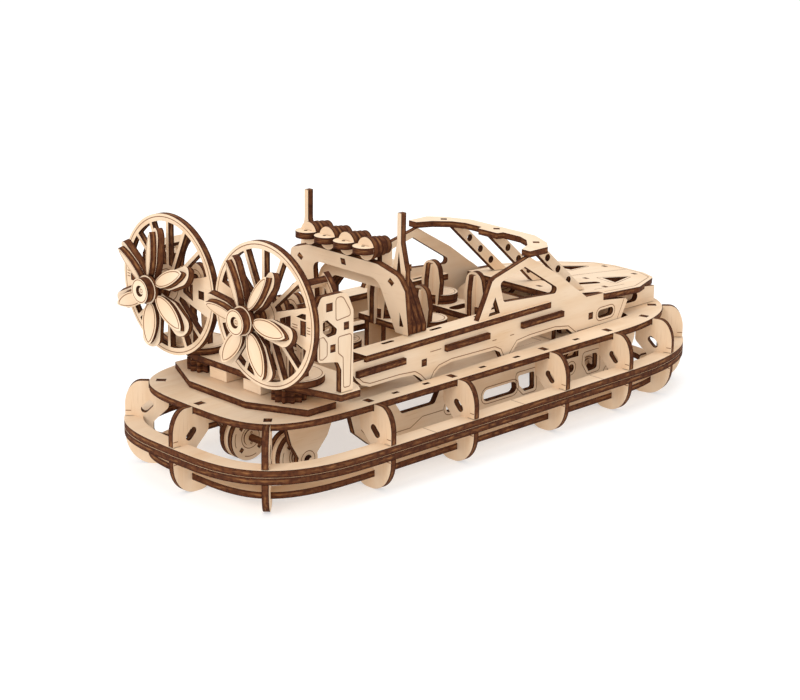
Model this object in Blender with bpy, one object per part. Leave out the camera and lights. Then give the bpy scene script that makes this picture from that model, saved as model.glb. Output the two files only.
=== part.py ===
"""Hovercraft model of laser-cut plywood: sheets slotted together, two fans and hidden wheels.

Lengths are in millimetres. X runs to the bow, Y to port and Z up. Inside the functions x counts
from a point on the stern deck, and heights count from the deck's top face.
"""

import bmesh
import bpy
from math import acos, atan2, cos, degrees, pi, radians, sin, tan
from mathutils import Matrix, Vector

MM = 0.001

# Stock and fit
SHEET = 3.2
GAP = 0.3
SLOT_HALF = SHEET / 2 + GAP
DOWEL = 1.7
DOWEL_HOLE = 2.3

# Hull
DECK_HEIGHT = 40.7
MIDDLE = 144.8
HALF_BEAM = 65.2
STERN = {"centre": 61.9, "reach": 79.3, "power": 3.23, "way": -1}
BOW = {"centre": 222.0, "reach": 85.0, "power": 2.6, "way": 1}
DECK_INSET = 12.0
RING_WIDTH = 8.9
RING_TOP = -17.3
BOTTOM_RING_INSET = 10.9
BOTTOM_RING_WIDTH = 8.0
BOTTOM_RING_TOP = -31.4
SIDE_STATIONS = (59.0, 113.0, 177.6, 226.0)
RIB_LAP = -4.6
RIB_FOOT_LAP = -15.15
RIB_TAB = (-19.3, -15.3)
FLOOR_TOP = -SHEET - GAP
FLOOR_BOTTOM = FLOOR_TOP - SHEET
HULL_SIDE_Y = 34.4
HULL_SIDE_TOP = FLOOR_BOTTOM - GAP
HULL_SIDE_BOTTOM = -28.0

# Running gear
WHEEL_RADIUS = 11.3
AXLE_HEIGHT = -29.2
REAR_AXLE_X = 40.0
FRONT_AXLE_X = 243.0
WHEEL_Y = 17.0
WHEEL_WIDTH = 9.0
BRACKET_Y = 26.6

# Stern platform
LOWER_PLATE = GAP
UPPER_PLATE = 10.0
GEAR_X = 27.0
GEAR_Y = 30.0
GEAR_RADIUS = 8.2

# Fans
FAN_Y = 33.4
FAN_HEIGHT = 46.6
FAN_RADIUS = 33.0
FAN_RIM = 3.4
FAN_HUB = 9.5
SPOKE_HALF = 0.9
THIN_SPOKES = 5
BROAD_SPOKE = 17.0
RING_X = 10.8
BLADE_X = 1.6
BLADE_COUNT = 6
BLADE_PITCH = -22.0
BLADE_START = {1: 36.0, -1: 7.0}
BLADE_ROOT = 4.5
BLADE_TIP = 28.5
BLADE_WIDTH = 9.0
LEAF_WIDTH = 7.4
LEAF_STEPS = 6
CAP_X = -3.8
SHAFT_END_X = 31.0
SHAFT_PROUD = 4.0
NACELLE_Y = 59.5
HOOP_X = 32.6
HOOP_INNER = 19.6
HOOP_OUTER = 23.7
HOOP_BARS = (44.0, 20.0, -24.0)
MOUNT_X = (18.5, 27.0)
TURNTABLE_X = 26.75
TURNTABLE_RADIUS = 14.0

# Cabin
PANEL_START = 52.0
PANEL_Y = 42.06
PANEL_LEAN = 0.03
SHELF_TOP = 20.3
RAIL_SPANS = ((2.7, 34.0), (61.8, 92.4), (116.7, 148.0))
RAIL_HEIGHT = 12.2
RAIL_OUT = 2.4
ARCH_X = 96.6
ARCH_LEAN = 14.5
HOOP_START = 98.5
LAMP_X = 84.7
LAMP_CENTRE = 61.4
LAMP_BAR = (91.7, 106.0)
LAMP_Y = (-19.8, -6.6, 6.6, 19.8)
LAMP_RADIUS = 5.5
LAMP_STACK = (5.5, 5.1, 4.7, 4.3)
ANTENNA_X = 94.2
ANTENNA_Y = 32.0
ROOF_BOTTOM = 46.2
NOSE_HEIGHT = 16.0
NOSE_X = 234.0
NOSE_SLOPE = 0.1
SEAT_Y = 15.0
FRONT_SEAT_X = 168.0
REAR_SEAT_X = 130.0
DASH_X = 202.0

BIRCH = (0.84, 0.66, 0.43)
BURNT = (0.30, 0.14, 0.06)


# Scene

for old in list(bpy.data.objects):
    bpy.data.objects.remove(old, do_unlink=True)

collection = bpy.data.collections.new("Plywood hovercraft model")
bpy.context.scene.collection.children.link(collection)


# Outlines

def box(x0, y0, x1, y1):
    """Rectangle from one corner to the other."""
    return [(x0, y0), (x1, y0), (x1, y1), (x0, y1)]


def arc(x, y, radius, start, end, steps=8, flatten=1.0):
    """Points on an arc, in degrees; flatten scales its height."""
    turns = [radians(start + (end - start) * i / steps) for i in range(steps + 1)]
    return [(x + radius * cos(t), y + radius * flatten * sin(t)) for t in turns]


def circle(x, y, radius, steps=20):
    """Full circle."""
    return arc(x, y, radius, 0, 360 * (1 - 1 / steps), steps - 1)


def slot(x, y, length, width, angle=0.0, steps=3):
    """Slot with round ends, centred on x, y."""
    reach = (length - width) / 2
    ends = arc(reach, 0, width / 2, -90, 90, steps) + arc(-reach, 0, width / 2, 90, 270, steps)
    c, s = cos(radians(angle)), sin(radians(angle))
    return [(x + u * c - v * s, y + u * s + v * c) for u, v in ends]


def turned_box(x, y, length, width, angle):
    """Rectangle about its centre, turned by an angle."""
    c, s = cos(radians(angle)), sin(radians(angle))
    corners = box(-length / 2, -width / 2, length / 2, width / 2)
    return [(x + u * c - v * s, y + u * s + v * c) for u, v in corners]


def rounded(corners, steps=3):
    """Polygon whose corners may carry a radius as a third value."""
    outline = []
    for i, corner in enumerate(corners):
        here = Vector(corner[:2])
        if len(corner) == 2:
            outline.append(tuple(here))
            continue
        back = (Vector(corners[i - 1][:2]) - here).normalized()
        on = (Vector(corners[(i + 1) % len(corners)][:2]) - here).normalized()
        half = acos(max(-1.0, min(1.0, back.dot(on)))) / 2
        centre = here + (back + on).normalized() * corner[2] / sin(half)
        first = here + back * corner[2] / tan(half) - centre
        last = here + on * corner[2] / tan(half) - centre
        start = atan2(first.y, first.x)
        sweep = (atan2(last.y, last.x) - start + pi) % (2 * pi) - pi
        for k in range(steps + 1):
            angle = start + sweep * k / steps
            outline.append((centre.x + corner[2] * cos(angle), centre.y + corner[2] * sin(angle)))
    return outline


def mirrored(points, side):
    """Points with their first value on the given side."""
    return [(x * side, y) for x, y in points]


def mirrored_y(points, side):
    """Points with their second value on the given side."""
    return [(x, y * side) for x, y in points]


def both_halves(points):
    """Outline drawn on the port side of the middle line and closed on the starboard side."""
    return points + [(x, -y) for x, y in reversed(points)]


def skirt_point(end, angle, inset=0.0):
    """Point of the skirt's plan curve where its normal has this angle off the middle line."""
    across = abs(tan(radians(angle))) * HALF_BEAM / end["reach"]
    ratio = across ** (1 / (end["power"] - 1))
    unit = (1 + ratio ** end["power"]) ** (-1 / end["power"])
    sign = 1 if angle >= 0 else -1
    x = end["centre"] + end["way"] * (end["reach"] * unit - inset * cos(radians(angle)))
    y = sign * (HALF_BEAM * unit * ratio - inset * abs(sin(radians(angle))))
    return x, y


def skirt(inset, steps=9):
    """Closed plan outline, inset from the skirt's outer curve."""
    half = [skirt_point(BOW, 89.0 * i / steps, inset) for i in range(steps + 1)]
    half += [skirt_point(STERN, 89.0 * (1 - i / steps), inset) for i in range(steps + 1)]
    return half + [(x, -y) for x, y in reversed(half[1:-1])]


def rib_stations():
    """Places of the ribs round the hull: x, y and heading of the outward direction."""
    stations = []
    for angle in (0.0, 45.0, -45.0):
        x, y = skirt_point(STERN, angle)
        stations.append((x, y, 180.0 - angle))
    for x in SIDE_STATIONS:
        stations += [(x, HALF_BEAM, 90.0), (x, -HALF_BEAM, -90.0)]
    for angle in (74.0, -74.0, 45.0, -45.0, 0.0):
        x, y = skirt_point(BOW, angle)
        stations.append((x, y, angle))
    return stations


# Placing

def at(x, y, height):
    """Frame at a point of the model."""
    return Matrix.Translation(Vector((x - MIDDLE, y, DECK_HEIGHT + height)) * MM)


def flat(bottom, thickness=SHEET):
    """Sheet lying flat on a height: its plane's axes are X and Y."""
    return at(0, 0, bottom + thickness / 2)


def along(y, x=0.0, heading=0.0):
    """Sheet standing lengthwise: its plane's axes are the heading and Z."""
    turn = Matrix.Rotation(radians(heading), 4, "Z") @ Matrix.Rotation(radians(90), 4, "X")
    return at(x, y, 0) @ turn


def across(x, y=0.0, height=0.0):
    """Sheet standing crosswise: its plane's axes are Y and Z."""
    turn = Matrix.Rotation(radians(90), 4, "Z") @ Matrix.Rotation(radians(90), 4, "X")
    return at(x, y, height) @ turn


def shifted(place, outward):
    """The same frame moved along its normal."""
    return place @ Matrix.Translation((0, 0, outward * MM))


# Solids

def mesh_of(drawn):
    """Evaluated mesh of an object, welded."""
    bpy.context.view_layer.update()
    evaluated = drawn.evaluated_get(bpy.context.evaluated_depsgraph_get())
    mesh = bpy.data.meshes.new_from_object(evaluated)
    work = bmesh.new()
    work.from_mesh(mesh)
    bmesh.ops.remove_doubles(work, verts=work.verts, dist=0.000002)
    work.to_mesh(mesh)
    work.free()
    return mesh


def placed(mesh, place):
    """New object for a mesh."""
    made = bpy.data.objects.new("piece", mesh)
    made.matrix_world = place
    collection.objects.link(made)
    return made


def sheet(outline, place, holes=(), thickness=SHEET):
    """One piece cut from a sheet, drawn in its own plane and centred on it."""
    curve = bpy.data.curves.new("cut", "CURVE")
    curve.dimensions = "2D"
    curve.fill_mode = "BOTH"
    curve.extrude = thickness * MM / 2
    for loop in (outline, *holes):
        spline = curve.splines.new("POLY")
        spline.points.add(len(loop) - 1)
        for point, (x, y) in zip(spline.points, loop):
            point.co = (x * MM, y * MM, 0, 1)
        spline.use_cyclic_u = True
    drawn = bpy.data.objects.new("cut", curve)
    collection.objects.link(drawn)
    made = placed(mesh_of(drawn), place)
    bpy.data.objects.remove(drawn, do_unlink=True)
    return made


def rod(radius, length, place, steps=16):
    """Round dowel or disc about the frame's normal, centred on the frame."""
    mesh = bpy.data.meshes.new("rod")
    work = bmesh.new()
    bmesh.ops.create_cone(work, cap_ends=True, segments=steps, radius1=radius * MM,
                          radius2=radius * MM, depth=length * MM)
    work.to_mesh(mesh)
    work.free()
    return placed(mesh, place)


def block(size, place):
    """Box about the frame's origin."""
    mesh = bpy.data.meshes.new("block")
    work = bmesh.new()
    bmesh.ops.create_cube(work, size=1.0)
    bmesh.ops.scale(work, vec=Vector(size) * MM, verts=work.verts)
    work.to_mesh(mesh)
    work.free()
    return placed(mesh, place)


def finish(name, pieces, cutters=(), colour=BIRCH):
    """Join the pieces, take the cutters out and name the result."""
    base = pieces[0]
    operands = [(piece, "UNION") for piece in pieces[1:]] + [(c, "DIFFERENCE") for c in cutters]
    for other, operation in operands:
        modifier = base.modifiers.new(operation.title(), "BOOLEAN")
        modifier.operation = operation
        modifier.solver = "EXACT"
        modifier.object = other
    made = base
    if operands:
        made = placed(mesh_of(base), base.matrix_world)
        for used in (base, *(other for other, _ in operands)):
            bpy.data.objects.remove(used, do_unlink=True)
    made.name = name
    made.data.name = name
    material = bpy.data.materials.new(name)
    material.use_nodes = True
    shader = material.node_tree.nodes["Principled BSDF"]
    shader.inputs["Base Color"].default_value = (*colour, 1)
    shader.inputs["Roughness"].default_value = 0.6
    shader.inputs["Metallic"].default_value = 0.0
    made.data.materials.clear()
    made.data.materials.append(material)
    made.data.shade_smooth()
    made.data.set_sharp_from_angle(angle=radians(30))
    return made


# Skirt: deck, rings and ribs

def lap_cutters(inner, outer, bottom, thickness):
    """Boxes that clear each rib's plate between two distances inside the skirt curve."""
    cutters = []
    for x, y, heading in rib_stations():
        reach = (inner + outer) / 2
        place = at(x, y, bottom + thickness / 2) @ Matrix.Rotation(radians(heading), 4, "Z")
        place = place @ Matrix.Translation((reach * MM, 0, 0))
        cutters.append(block((outer - inner, 2 * SLOT_HALF, thickness + 1), place))
    return cutters


def opening_outline(margin=0.0):
    """Well in the deck, or the floor below it with a margin inside."""
    return both_halves([
        (258 - margin, 30), (255 - margin, 37.6 - margin), (250, 38.3 - margin),
        (104, 44.3 - margin), (52, 44.3 - margin), (44, 36), (20 + margin, 34)])


def build_deck():
    """Deck plate with its well, the ribs' tab slots and small tab slots round the well."""
    plate = sheet(skirt(DECK_INSET), flat(-SHEET), [opening_outline()])
    cutters = lap_cutters(RIB_TAB[0] - GAP, RIB_TAB[1] + GAP, -SHEET, SHEET)
    for side in (1, -1):
        for x in (76, 96, 134, 158, 202):
            cutters.append(block((4, 2, SHEET + 1), at(x, side * 48, -SHEET / 2)))
    finish("deck", [plate], cutters)


def build_ring(name, inset, width, top, notch, notch_from_inside):
    """Skirt ring with a half lap for every rib."""
    plate = sheet(skirt(inset), flat(top - SHEET), [skirt(inset + width)])
    if notch_from_inside:
        span = (-inset - width - 2, notch + GAP)
    else:
        span = (notch - GAP, -inset + 2)
    finish(name, [plate], lap_cutters(*span, top - SHEET, SHEET))


def rib_outline():
    """Rib in its own plane: outward distance from the skirt curve, and height."""
    ring_bottom = RING_TOP - 2 * SHEET - GAP
    foot_top = BOTTOM_RING_TOP + GAP
    foot_bottom = BOTTOM_RING_TOP - SHEET - GAP
    outline = [(-11.7, 0), *arc(-8, -12, 7.6, 90, 0, 4, 12 / 7.6)]
    outline += [(-0.4, RING_TOP + GAP), (RIB_LAP, RING_TOP + GAP)]
    outline += [(RIB_LAP, ring_bottom - GAP), (-0.4, ring_bottom - GAP)]
    outline += arc(-13, -26, 12.6, 0, -90, 5, 14.7 / 12.6)
    outline += arc(-16, foot_bottom, 6.5, -90, -180, 3, (DECK_HEIGHT + foot_bottom) / 6.5)
    outline += [(RIB_FOOT_LAP, foot_bottom), (RIB_FOOT_LAP, foot_top), (-22.5, foot_top)]
    outline += [(-22.5, -28, 2), (-13.5, -25.5, 2), (-13.5, -20, 3), (-20.9, -12.9, 3)]
    outline += [(-20.9, FLOOR_TOP), (RIB_TAB[0], FLOOR_TOP), (RIB_TAB[0], 0), (RIB_TAB[1], 0),
                (RIB_TAB[1], FLOOR_TOP), (-11.7, FLOOR_TOP)]
    return rounded(outline, 2)


def build_ribs():
    """Sixteen upright ribs that carry the rings and hold the deck up."""
    for number, (x, y, heading) in enumerate(rib_stations(), start=1):
        plate = sheet(rib_outline(), along(y, x, heading), [slot(-10.8, -12.6, 8, 3.5, -45)])
        finish(f"rib_{number:02d}", [plate])


# Lower hull

def build_hull_floor():
    """Floor plate just under the deck's well."""
    plate = sheet(opening_outline(0.6), flat(FLOOR_BOTTOM), [slot(70, 0, 14, 5), slot(232, 0, 14, 5)])
    finish("hull_floor", [plate])


def build_hull_sides():
    """Long upright plates under the floor, with windows and the front axle's lug."""
    lug = arc(FRONT_AXLE_X, AXLE_HEIGHT, 6.5, 170, 370, 10)
    outline = [(58, HULL_SIDE_TOP), (62, -20), (72, HULL_SIDE_BOTTOM), *lug,
               (255, -22), (257, HULL_SIDE_TOP)]
    windows = [
        rounded([(87, -10), (118, -10), (114, -17, 2), (92, -17, 2)]),
        slot(160, -21.2, 24, 6),
        rounded([(172.9, -15.9, 1), (184.7, -15.9, 1), (185.2, -24.9, 1), (178, -24.9), (174, -21)]),
        box(206, -15, 218.5, -12),
        circle(213.1, -20.5, 2.2, 12),
        rounded([(223.7, -16, 1), (233.5, -16, 2), (233.5, -24.5, 2), (227, -25), (223.7, -20)]),
        slot(130, -21.2, 16, 5),
        circle(FRONT_AXLE_X, AXLE_HEIGHT, DOWEL_HOLE, 16)]
    for name, side in (("hull_side_port", 1), ("hull_side_starboard", -1)):
        finish(name, [sheet(outline, along(side * HULL_SIDE_Y), windows)])


def build_wheels(name, x, axle_half):
    """Two laminated wheels on one dowel, as one turning piece."""
    place = at(x, 0, AXLE_HEIGHT) @ Matrix.Rotation(radians(90), 4, "X")
    pieces = [rod(DOWEL, 2 * axle_half, place, 12)]
    for side in (1, -1):
        for offset in (-1, 1):
            y = side * WHEEL_Y + offset * (WHEEL_WIDTH - SHEET) / 2
            pieces.append(rod(WHEEL_RADIUS, SHEET, shifted(place, y), 28))
        pieces.append(rod(WHEEL_RADIUS - 3.5, WHEEL_WIDTH - 1, shifted(place, side * WHEEL_Y), 14))
    finish(name, pieces)


def build_rear_bracket():
    """Hanger under the floor that carries the rear axle between two cheeks."""
    cheek = [(26, HULL_SIDE_TOP), (58, HULL_SIDE_TOP), (52, -20),
             *arc(REAR_AXLE_X, AXLE_HEIGHT, 6, 20, -200, 10), (30, -20)]
    hole = circle(REAR_AXLE_X, AXLE_HEIGHT, DOWEL_HOLE, 16)
    pieces = [sheet(box(28, -BRACKET_Y, 56, BRACKET_Y), flat(HULL_SIDE_TOP - SHEET), [slot(42, 0, 20, 8, 90)])]
    for side in (1, -1):
        pieces.append(sheet(cheek, along(side * BRACKET_Y), [hole]))
    finish("rear_bracket", pieces)


# Stern platform

def build_platforms():
    """Two plates over the stern deck with spacer blocks between them."""
    lower = both_halves([(45, 36), (40, 47), (23, 47), (10, 20)])
    upper = both_halves([(50, 38), (43.3, 57.7), (40, 62.8), (28.4, 62.8), (18.5, 28)])
    shafts = [circle(GEAR_X, side * GEAR_Y, DOWEL_HOLE, 16) for side in (1, -1)]
    finish("platform_lower", [sheet(lower, flat(LOWER_PLATE), [*shafts, slot(38, 0, 20, 4, 90)])])
    windows = [slot(40, 0, 24, 4, 90)]
    finish("platform_upper", [sheet(upper, flat(UPPER_PLATE), [*shafts, *windows])])
    tall = UPPER_PLATE - LOWER_PLATE - SHEET - 2 * GAP
    middle = LOWER_PLATE + SHEET + GAP + tall / 2
    for name, side in (("platform_block_port", 1), ("platform_block_starboard", -1)):
        pieces = [block((19, 12, tall), at(30, side * 12, middle)),
                  block((4, 28, tall), at(41, side * 23, middle))]
        finish(name, pieces, colour=BURNT)


def gear_outline(radius, teeth, depth, steps=4):
    """Gear with round teeth."""
    count = teeth * steps
    outline = []
    for i in range(count):
        angle = 2 * pi * i / count
        reach = radius - depth / 2 + depth / 2 * cos(teeth * angle)
        outline.append((reach * cos(angle), reach * sin(angle)))
    return outline


def build_gears():
    """Two idle gears lying between the platform plates, each on an upright dowel."""
    bottom = LOWER_PLATE + SHEET + GAP
    tall = UPPER_PLATE - GAP - bottom
    for name, side in (("gear_port", 1), ("gear_starboard", -1)):
        place = at(GEAR_X, side * GEAR_Y, bottom + tall / 2)
        wheel = sheet(gear_outline(GEAR_RADIUS, 12, 1.8), place, thickness=tall)
        dowel = rod(DOWEL, UPPER_PLATE + SHEET - 2 * GAP, at(GEAR_X, side * GEAR_Y, UPPER_PLATE / 2 + 2), 16)
        finish(name, [wheel, dowel], colour=BURNT)


# Fans

def fan_ring_holes(side):
    """Openings between the ten thin spokes and the two broad ones, and the broad ones' windows."""
    holes = []
    outer = FAN_RADIUS - FAN_RIM
    step = (180 - 2 * BROAD_SPOKE) / (THIN_SPOKES + 1)
    trim_out = degrees(SPOKE_HALF / outer)
    trim_in = degrees(SPOKE_HALF / FAN_HUB)
    for half in (0, 180):
        for i in range(THIN_SPOKES + 1):
            start = half + BROAD_SPOKE + i * step
            rim = arc(0, 0, outer, start + trim_out, start + step - trim_out, 5)
            root = arc(0, 0, FAN_HUB, start + step - trim_in, start + trim_in, 2)
            holes.append(rim + root)
    holes.append([(11, -1.2), (18, -4), (18, 4), (11, 1.2)])
    holes.append([(-11, -1.2), (-18, -4), (-18, 4), (-11, 1.2)])
    holes.append(box(-26, -2, -22, 2))
    slot_centre = NACELLE_Y - FAN_Y
    holes.append(box(slot_centre - SLOT_HALF, -3.3, slot_centre + SLOT_HALF, 3.3))
    holes.append(circle(0, 0, DOWEL_HOLE, 16))
    return [mirrored(hole, side) for hole in holes]


def build_fan_rings():
    """Round fan guards."""
    for name, side in (("fan_ring_port", 1), ("fan_ring_starboard", -1)):
        place = across(RING_X, side * FAN_Y, FAN_HEIGHT)
        finish(name, [sheet(circle(0, 0, FAN_RADIUS, 64), place, fan_ring_holes(side))])


def blade_outline():
    """Blade with a narrow root, parallel sides and a round tip."""
    half = BLADE_WIDTH / 2
    edge = [(BLADE_ROOT, 1.7), (BLADE_ROOT + 3, 2.2), (BLADE_ROOT + 9, half)]
    tip = arc(BLADE_TIP - half, 0, half, -90, 90, 6)
    return [(x, -y) for x, y in edge] + tip + edge[::-1]


def leaf_outline():
    """Pointed leaf that lies on the blade: two shallow arcs."""
    root, tip = BLADE_ROOT + 1, BLADE_TIP - 1.5
    upper = []
    for i in range(LEAF_STEPS + 1):
        t = i / LEAF_STEPS
        upper.append((root + (tip - root) * t, LEAF_WIDTH / 2 * sin(pi * t ** 0.9) ** 0.62))
    return upper + [(x, -y) for x, y in reversed(upper[1:-1])]


def build_propellers():
    """Six twisted laminated blades round a stack of discs, on a dowel shaft."""
    for name, side in (("propeller_port", 1), ("propeller_starboard", -1)):
        axis = across(BLADE_X, side * FAN_Y, FAN_HEIGHT)
        pieces = [rod(5.6, 9.6, axis, 24)]
        for number in range(BLADE_COUNT):
            turn = Matrix.Rotation(radians(360 / BLADE_COUNT * number + BLADE_START[side]), 4, "Z")
            twist = Matrix.Rotation(radians(BLADE_PITCH), 4, "X")
            blade = axis @ turn @ twist
            pieces.append(sheet(blade_outline(), shifted(blade, 0.6)))
            pieces.append(sheet(leaf_outline(), shifted(blade, -2.4), thickness=3.0))
        cap = across(CAP_X, side * FAN_Y, FAN_HEIGHT)
        pieces.append(rod(6.6, 1.6, shifted(cap, 1.4), 24))
        pieces.append(rod(5.9, 4.4, shifted(cap, -1.2), 24))
        length = SHAFT_END_X - CAP_X + SHAFT_PROUD
        pieces.append(rod(DOWEL, length, shifted(cap, length / 2 - SHAFT_PROUD), 16))
        finish(name, pieces)


def build_fan_mounts():
    """Turntable disc with two bearing uprights for each fan's shaft."""
    base = UPPER_PLATE + SHEET + GAP
    upright = [(-8, base + 1), (8, base + 1), (8, 30), (6, 34), (6, 48), *arc(0, 48, 6, 10, 170, 6),
               (-6, 48), (-6, 34), (-8, 30)]
    bearing = circle(0, FAN_HEIGHT, DOWEL_HOLE, 16)
    window = rounded([(-4, 20, 1), (4, 20, 1), (3, 36, 1), (-3, 36, 1)])
    for name, side in (("fan_mount_port", 1), ("fan_mount_starboard", -1)):
        y = side * FAN_Y
        pieces = [rod(TURNTABLE_RADIUS, SHEET, at(TURNTABLE_X, y, base + SHEET / 2), 32)]
        for x in MOUNT_X:
            pieces.append(sheet(upright, across(x, y), [bearing, window]))
        tie = box(MOUNT_X[0], 38, MOUNT_X[1], 41)
        pieces.append(sheet(tie, along(y)))
        finish(name, pieces)


def build_nacelles():
    """Outboard nacelle plate on the platform, and the short hoop ahead of each fan ring."""
    foot = UPPER_PLATE + SHEET + GAP
    tab_end = RING_X - SHEET / 2
    outline = rounded([(16, 30, 2), (28, 28, 2), (30, 24), (30, foot), (37, foot), (37, 50), (33, 59, 5),
                       (18, 59, 2), (16, 55), (16, 49.6), (tab_end, 49.6), (tab_end, 43.6), (16, 43.6)])
    window = [(20, 48.5), (24, 50.5), (24, 55), (20, 55)]
    small = [box(18.5, 37, 20.5, 40), box(32, 44, 34, 48), box(27, 34, 29.5, 36)]
    for side_name, side in (("port", 1), ("starboard", -1)):
        plate = sheet(outline, along(side * NACELLE_Y), [window, *small])
        finish(f"nacelle_plate_{side_name}", [plate])
        hoop = arc(0, 0, HOOP_OUTER, -35, 52, 10) + arc(0, 0, HOOP_INNER, 52, -35, 8)
        place = across(HOOP_X, side * FAN_Y, FAN_HEIGHT)
        pieces = [sheet(mirrored(hoop, side), place)]
        bar_length = HOOP_X - RING_X - SHEET / 2 - GAP
        reach = (HOOP_INNER + HOOP_OUTER) / 2 * side
        for angle in HOOP_BARS:
            turn = Matrix.Rotation(radians(angle * side), 4, "Z")
            bar = place @ turn @ Matrix.Translation((reach * MM, 0, -bar_length * MM / 2))
            pieces.append(block((3.6, SHEET, bar_length), bar))
        finish(f"nacelle_hoop_{side_name}", pieces)


# Cabin

def panel_frame(side, inward=0.0):
    """Plane of a side panel: it runs in slightly towards the bow."""
    y = PANEL_Y - inward - PANEL_LEAN * (PANEL_START - 60)
    heading = -degrees(atan2(PANEL_LEAN, 1)) * side
    return along(side * y, PANEL_START, heading)


def panel_outline():
    """Side panel: hull side with three arches below and the cabin frame above."""
    return rounded([
        (0.1, 18.2), (-1.1, 15.4), (0.8, 12.6), (3.4, 9.2), (6.6, 6.3), (11.8, 4.4), (31.5, 4.3, 3),
        (41.5, 3.5, 3), (45, 1.2), (49.9, -3.2), (52.7, -3.2), (55.9, 1.3), (58.6, 3.1), (67, 4.3),
        (97.8, 3.6, 3), (101.5, 1.8), (104.5, -3.2), (108.5, -3.2), (111.2, -0.3), (114.8, 3.6),
        (123.8, 4.3), (143, 4.4, 3), (153.3, 2.8), (159.1, -1.5), (161, -3.2), (195, -3.2),
        (201.7, 8.6), (199.9, 10.0), (181.5, 12.4), (181.3, 16.3), (167.5, 16.8), (161.6, 21.1),
        (159.1, 22.6), (145.2, 32.5), (129.4, 41.5), (121.9, 45.9), (96.9, 39.6, 2), (94.8, 38.4),
        (90.8, 30.2), (84.6, 18.4)])


def build_side_panels():
    """Side panels with their outer rails and the shelf inside each."""
    window = rounded([(118.7, 41.5, 1), (100.3, 36.7, 2), (103.5, 26.5, 2), (144.5, 23.3, 2), (143.2, 26.7, 2)])
    holes = [window, [(97.3, 30.2), (101, 21.6), (92.6, 21.4)], slot(183.7, 5.4, 12.8, 4.4),
             box(46.2, 6.2, 49.8, 9.2), box(169.4, 4.2, 173.4, 7.8)]
    shelf = box(8, -3, 138, 8)
    shelf_slots = [slot(x, drop, 8, 2) for x, drop in ((30, 5), (62, 4.6), (94, 5.2), (120, 4.8))]
    for name, side in (("side_panel_port", 1), ("side_panel_starboard", -1)):
        place = panel_frame(side)
        pieces = [sheet(panel_outline(), place, holes)]
        for start, end in RAIL_SPANS:
            middle = Vector(((start + end) / 2, RAIL_HEIGHT, -side * RAIL_OUT)) * MM
            pieces.append(block((end - start, 3.0, 2.2), place @ Matrix.Translation(middle)))
        level = place @ Matrix.Rotation(radians(-90), 4, "X")
        level = level @ Matrix.Translation((0, 0, (SHELF_TOP - SHEET / 2) * MM))
        cuts = [mirrored_y(cut, -side) for cut in shelf_slots]
        pieces.append(sheet(mirrored_y(shelf, -side), level, cuts))
        finish(name, pieces)


def mirrored_corners(corners):
    """Corners with a radius, drawn to port, with their starboard copies."""
    return corners + [(-c[0], *c[1:]) for c in reversed(corners)]


def build_arches():
    """Lamp arch, which leans aft, and the laminated hoop ahead of it, standing on the shelves."""
    foot = SHELF_TOP + GAP
    lean = Matrix.Rotation(radians(-ARCH_LEAN), 4, "Y")
    place = at(ARCH_X, 0, foot + SHEET / 2 * sin(radians(ARCH_LEAN))) @ lean @ at(0, 0, 0).inverted() @ across(0)
    outer = mirrored_corners([(36.5, 0), (40, 24), (37, 31, 4), (24, 35, 4)])
    inner = mirrored_corners([(22.5, 27, 6), (28, 0)])
    slots = [box(-1.6, 29.6, 1.6, 32.4)]
    for side in (1, -1):
        slots.append(turned_box(side * 31.5, 27.2, 3, 3, 45))
        slots.append([(side * 31.6, 4), (side * 34.4, 4.4), (side * 33.6, 12)])
    finish("lamp_arch", [sheet(rounded(outer + inner[2:] + inner[:2]), place, slots)])
    thick = 3 * SHEET
    outer = mirrored_corners([(35.4, foot), (35.4, 24), (28, 40, 3), (20, 48, 2)])
    inner = mirrored_corners([(18.5, 38.5, 4), (25.4, 30), (25.4, foot)])
    hoop = rounded(outer + inner[3:] + inner[:3])
    finish("rear_hoop", [sheet(hoop, across(HOOP_START + thick / 2), thickness=thick)])


def build_lamps():
    """Four lamps of crossed and stacked discs on a bar that lies on the laminated hoop."""
    base = 48 + GAP
    start, end = LAMP_BAR
    pieces = [sheet(box(start, -27, end, 27), flat(base), [box(100, y - 2, 102, y + 2) for y in (-12.4, 0, 12.4)])]
    for y in LAMP_Y:
        pieces.append(rod(LAMP_RADIUS, SHEET, at(LAMP_X, y, LAMP_CENTRE), 20))
        for number, radius in enumerate(LAMP_STACK):
            pieces.append(rod(radius, SHEET + 0.1, across(LAMP_X + SHEET * number, y, LAMP_CENTRE), 20))
        pieces.append(sheet(box(start + 0.4, base + 1, start + 7, LAMP_CENTRE), along(y)))
    finish("lamp_bank", pieces)


def build_antennas():
    """Forked aerials in front of the arch's shoulders."""
    for name, side in (("antenna_port", 1), ("antenna_starboard", -1)):
        y = side * ANTENNA_Y
        mast = [(y + 1.25, 79), (y - 1.25, 79), (y - 1.25, 65), (y - 4.6, 52), (y - 4.6, 44.6), (y + 4, 44.6), (y + 4, 52),
                (y + 1.25, 65)]
        fork = [(y - 2.2, 47), (y + 1.6, 47), (y, 61)]
        finish(name, [sheet(mast, across(ANTENNA_X), [fork])])


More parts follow.
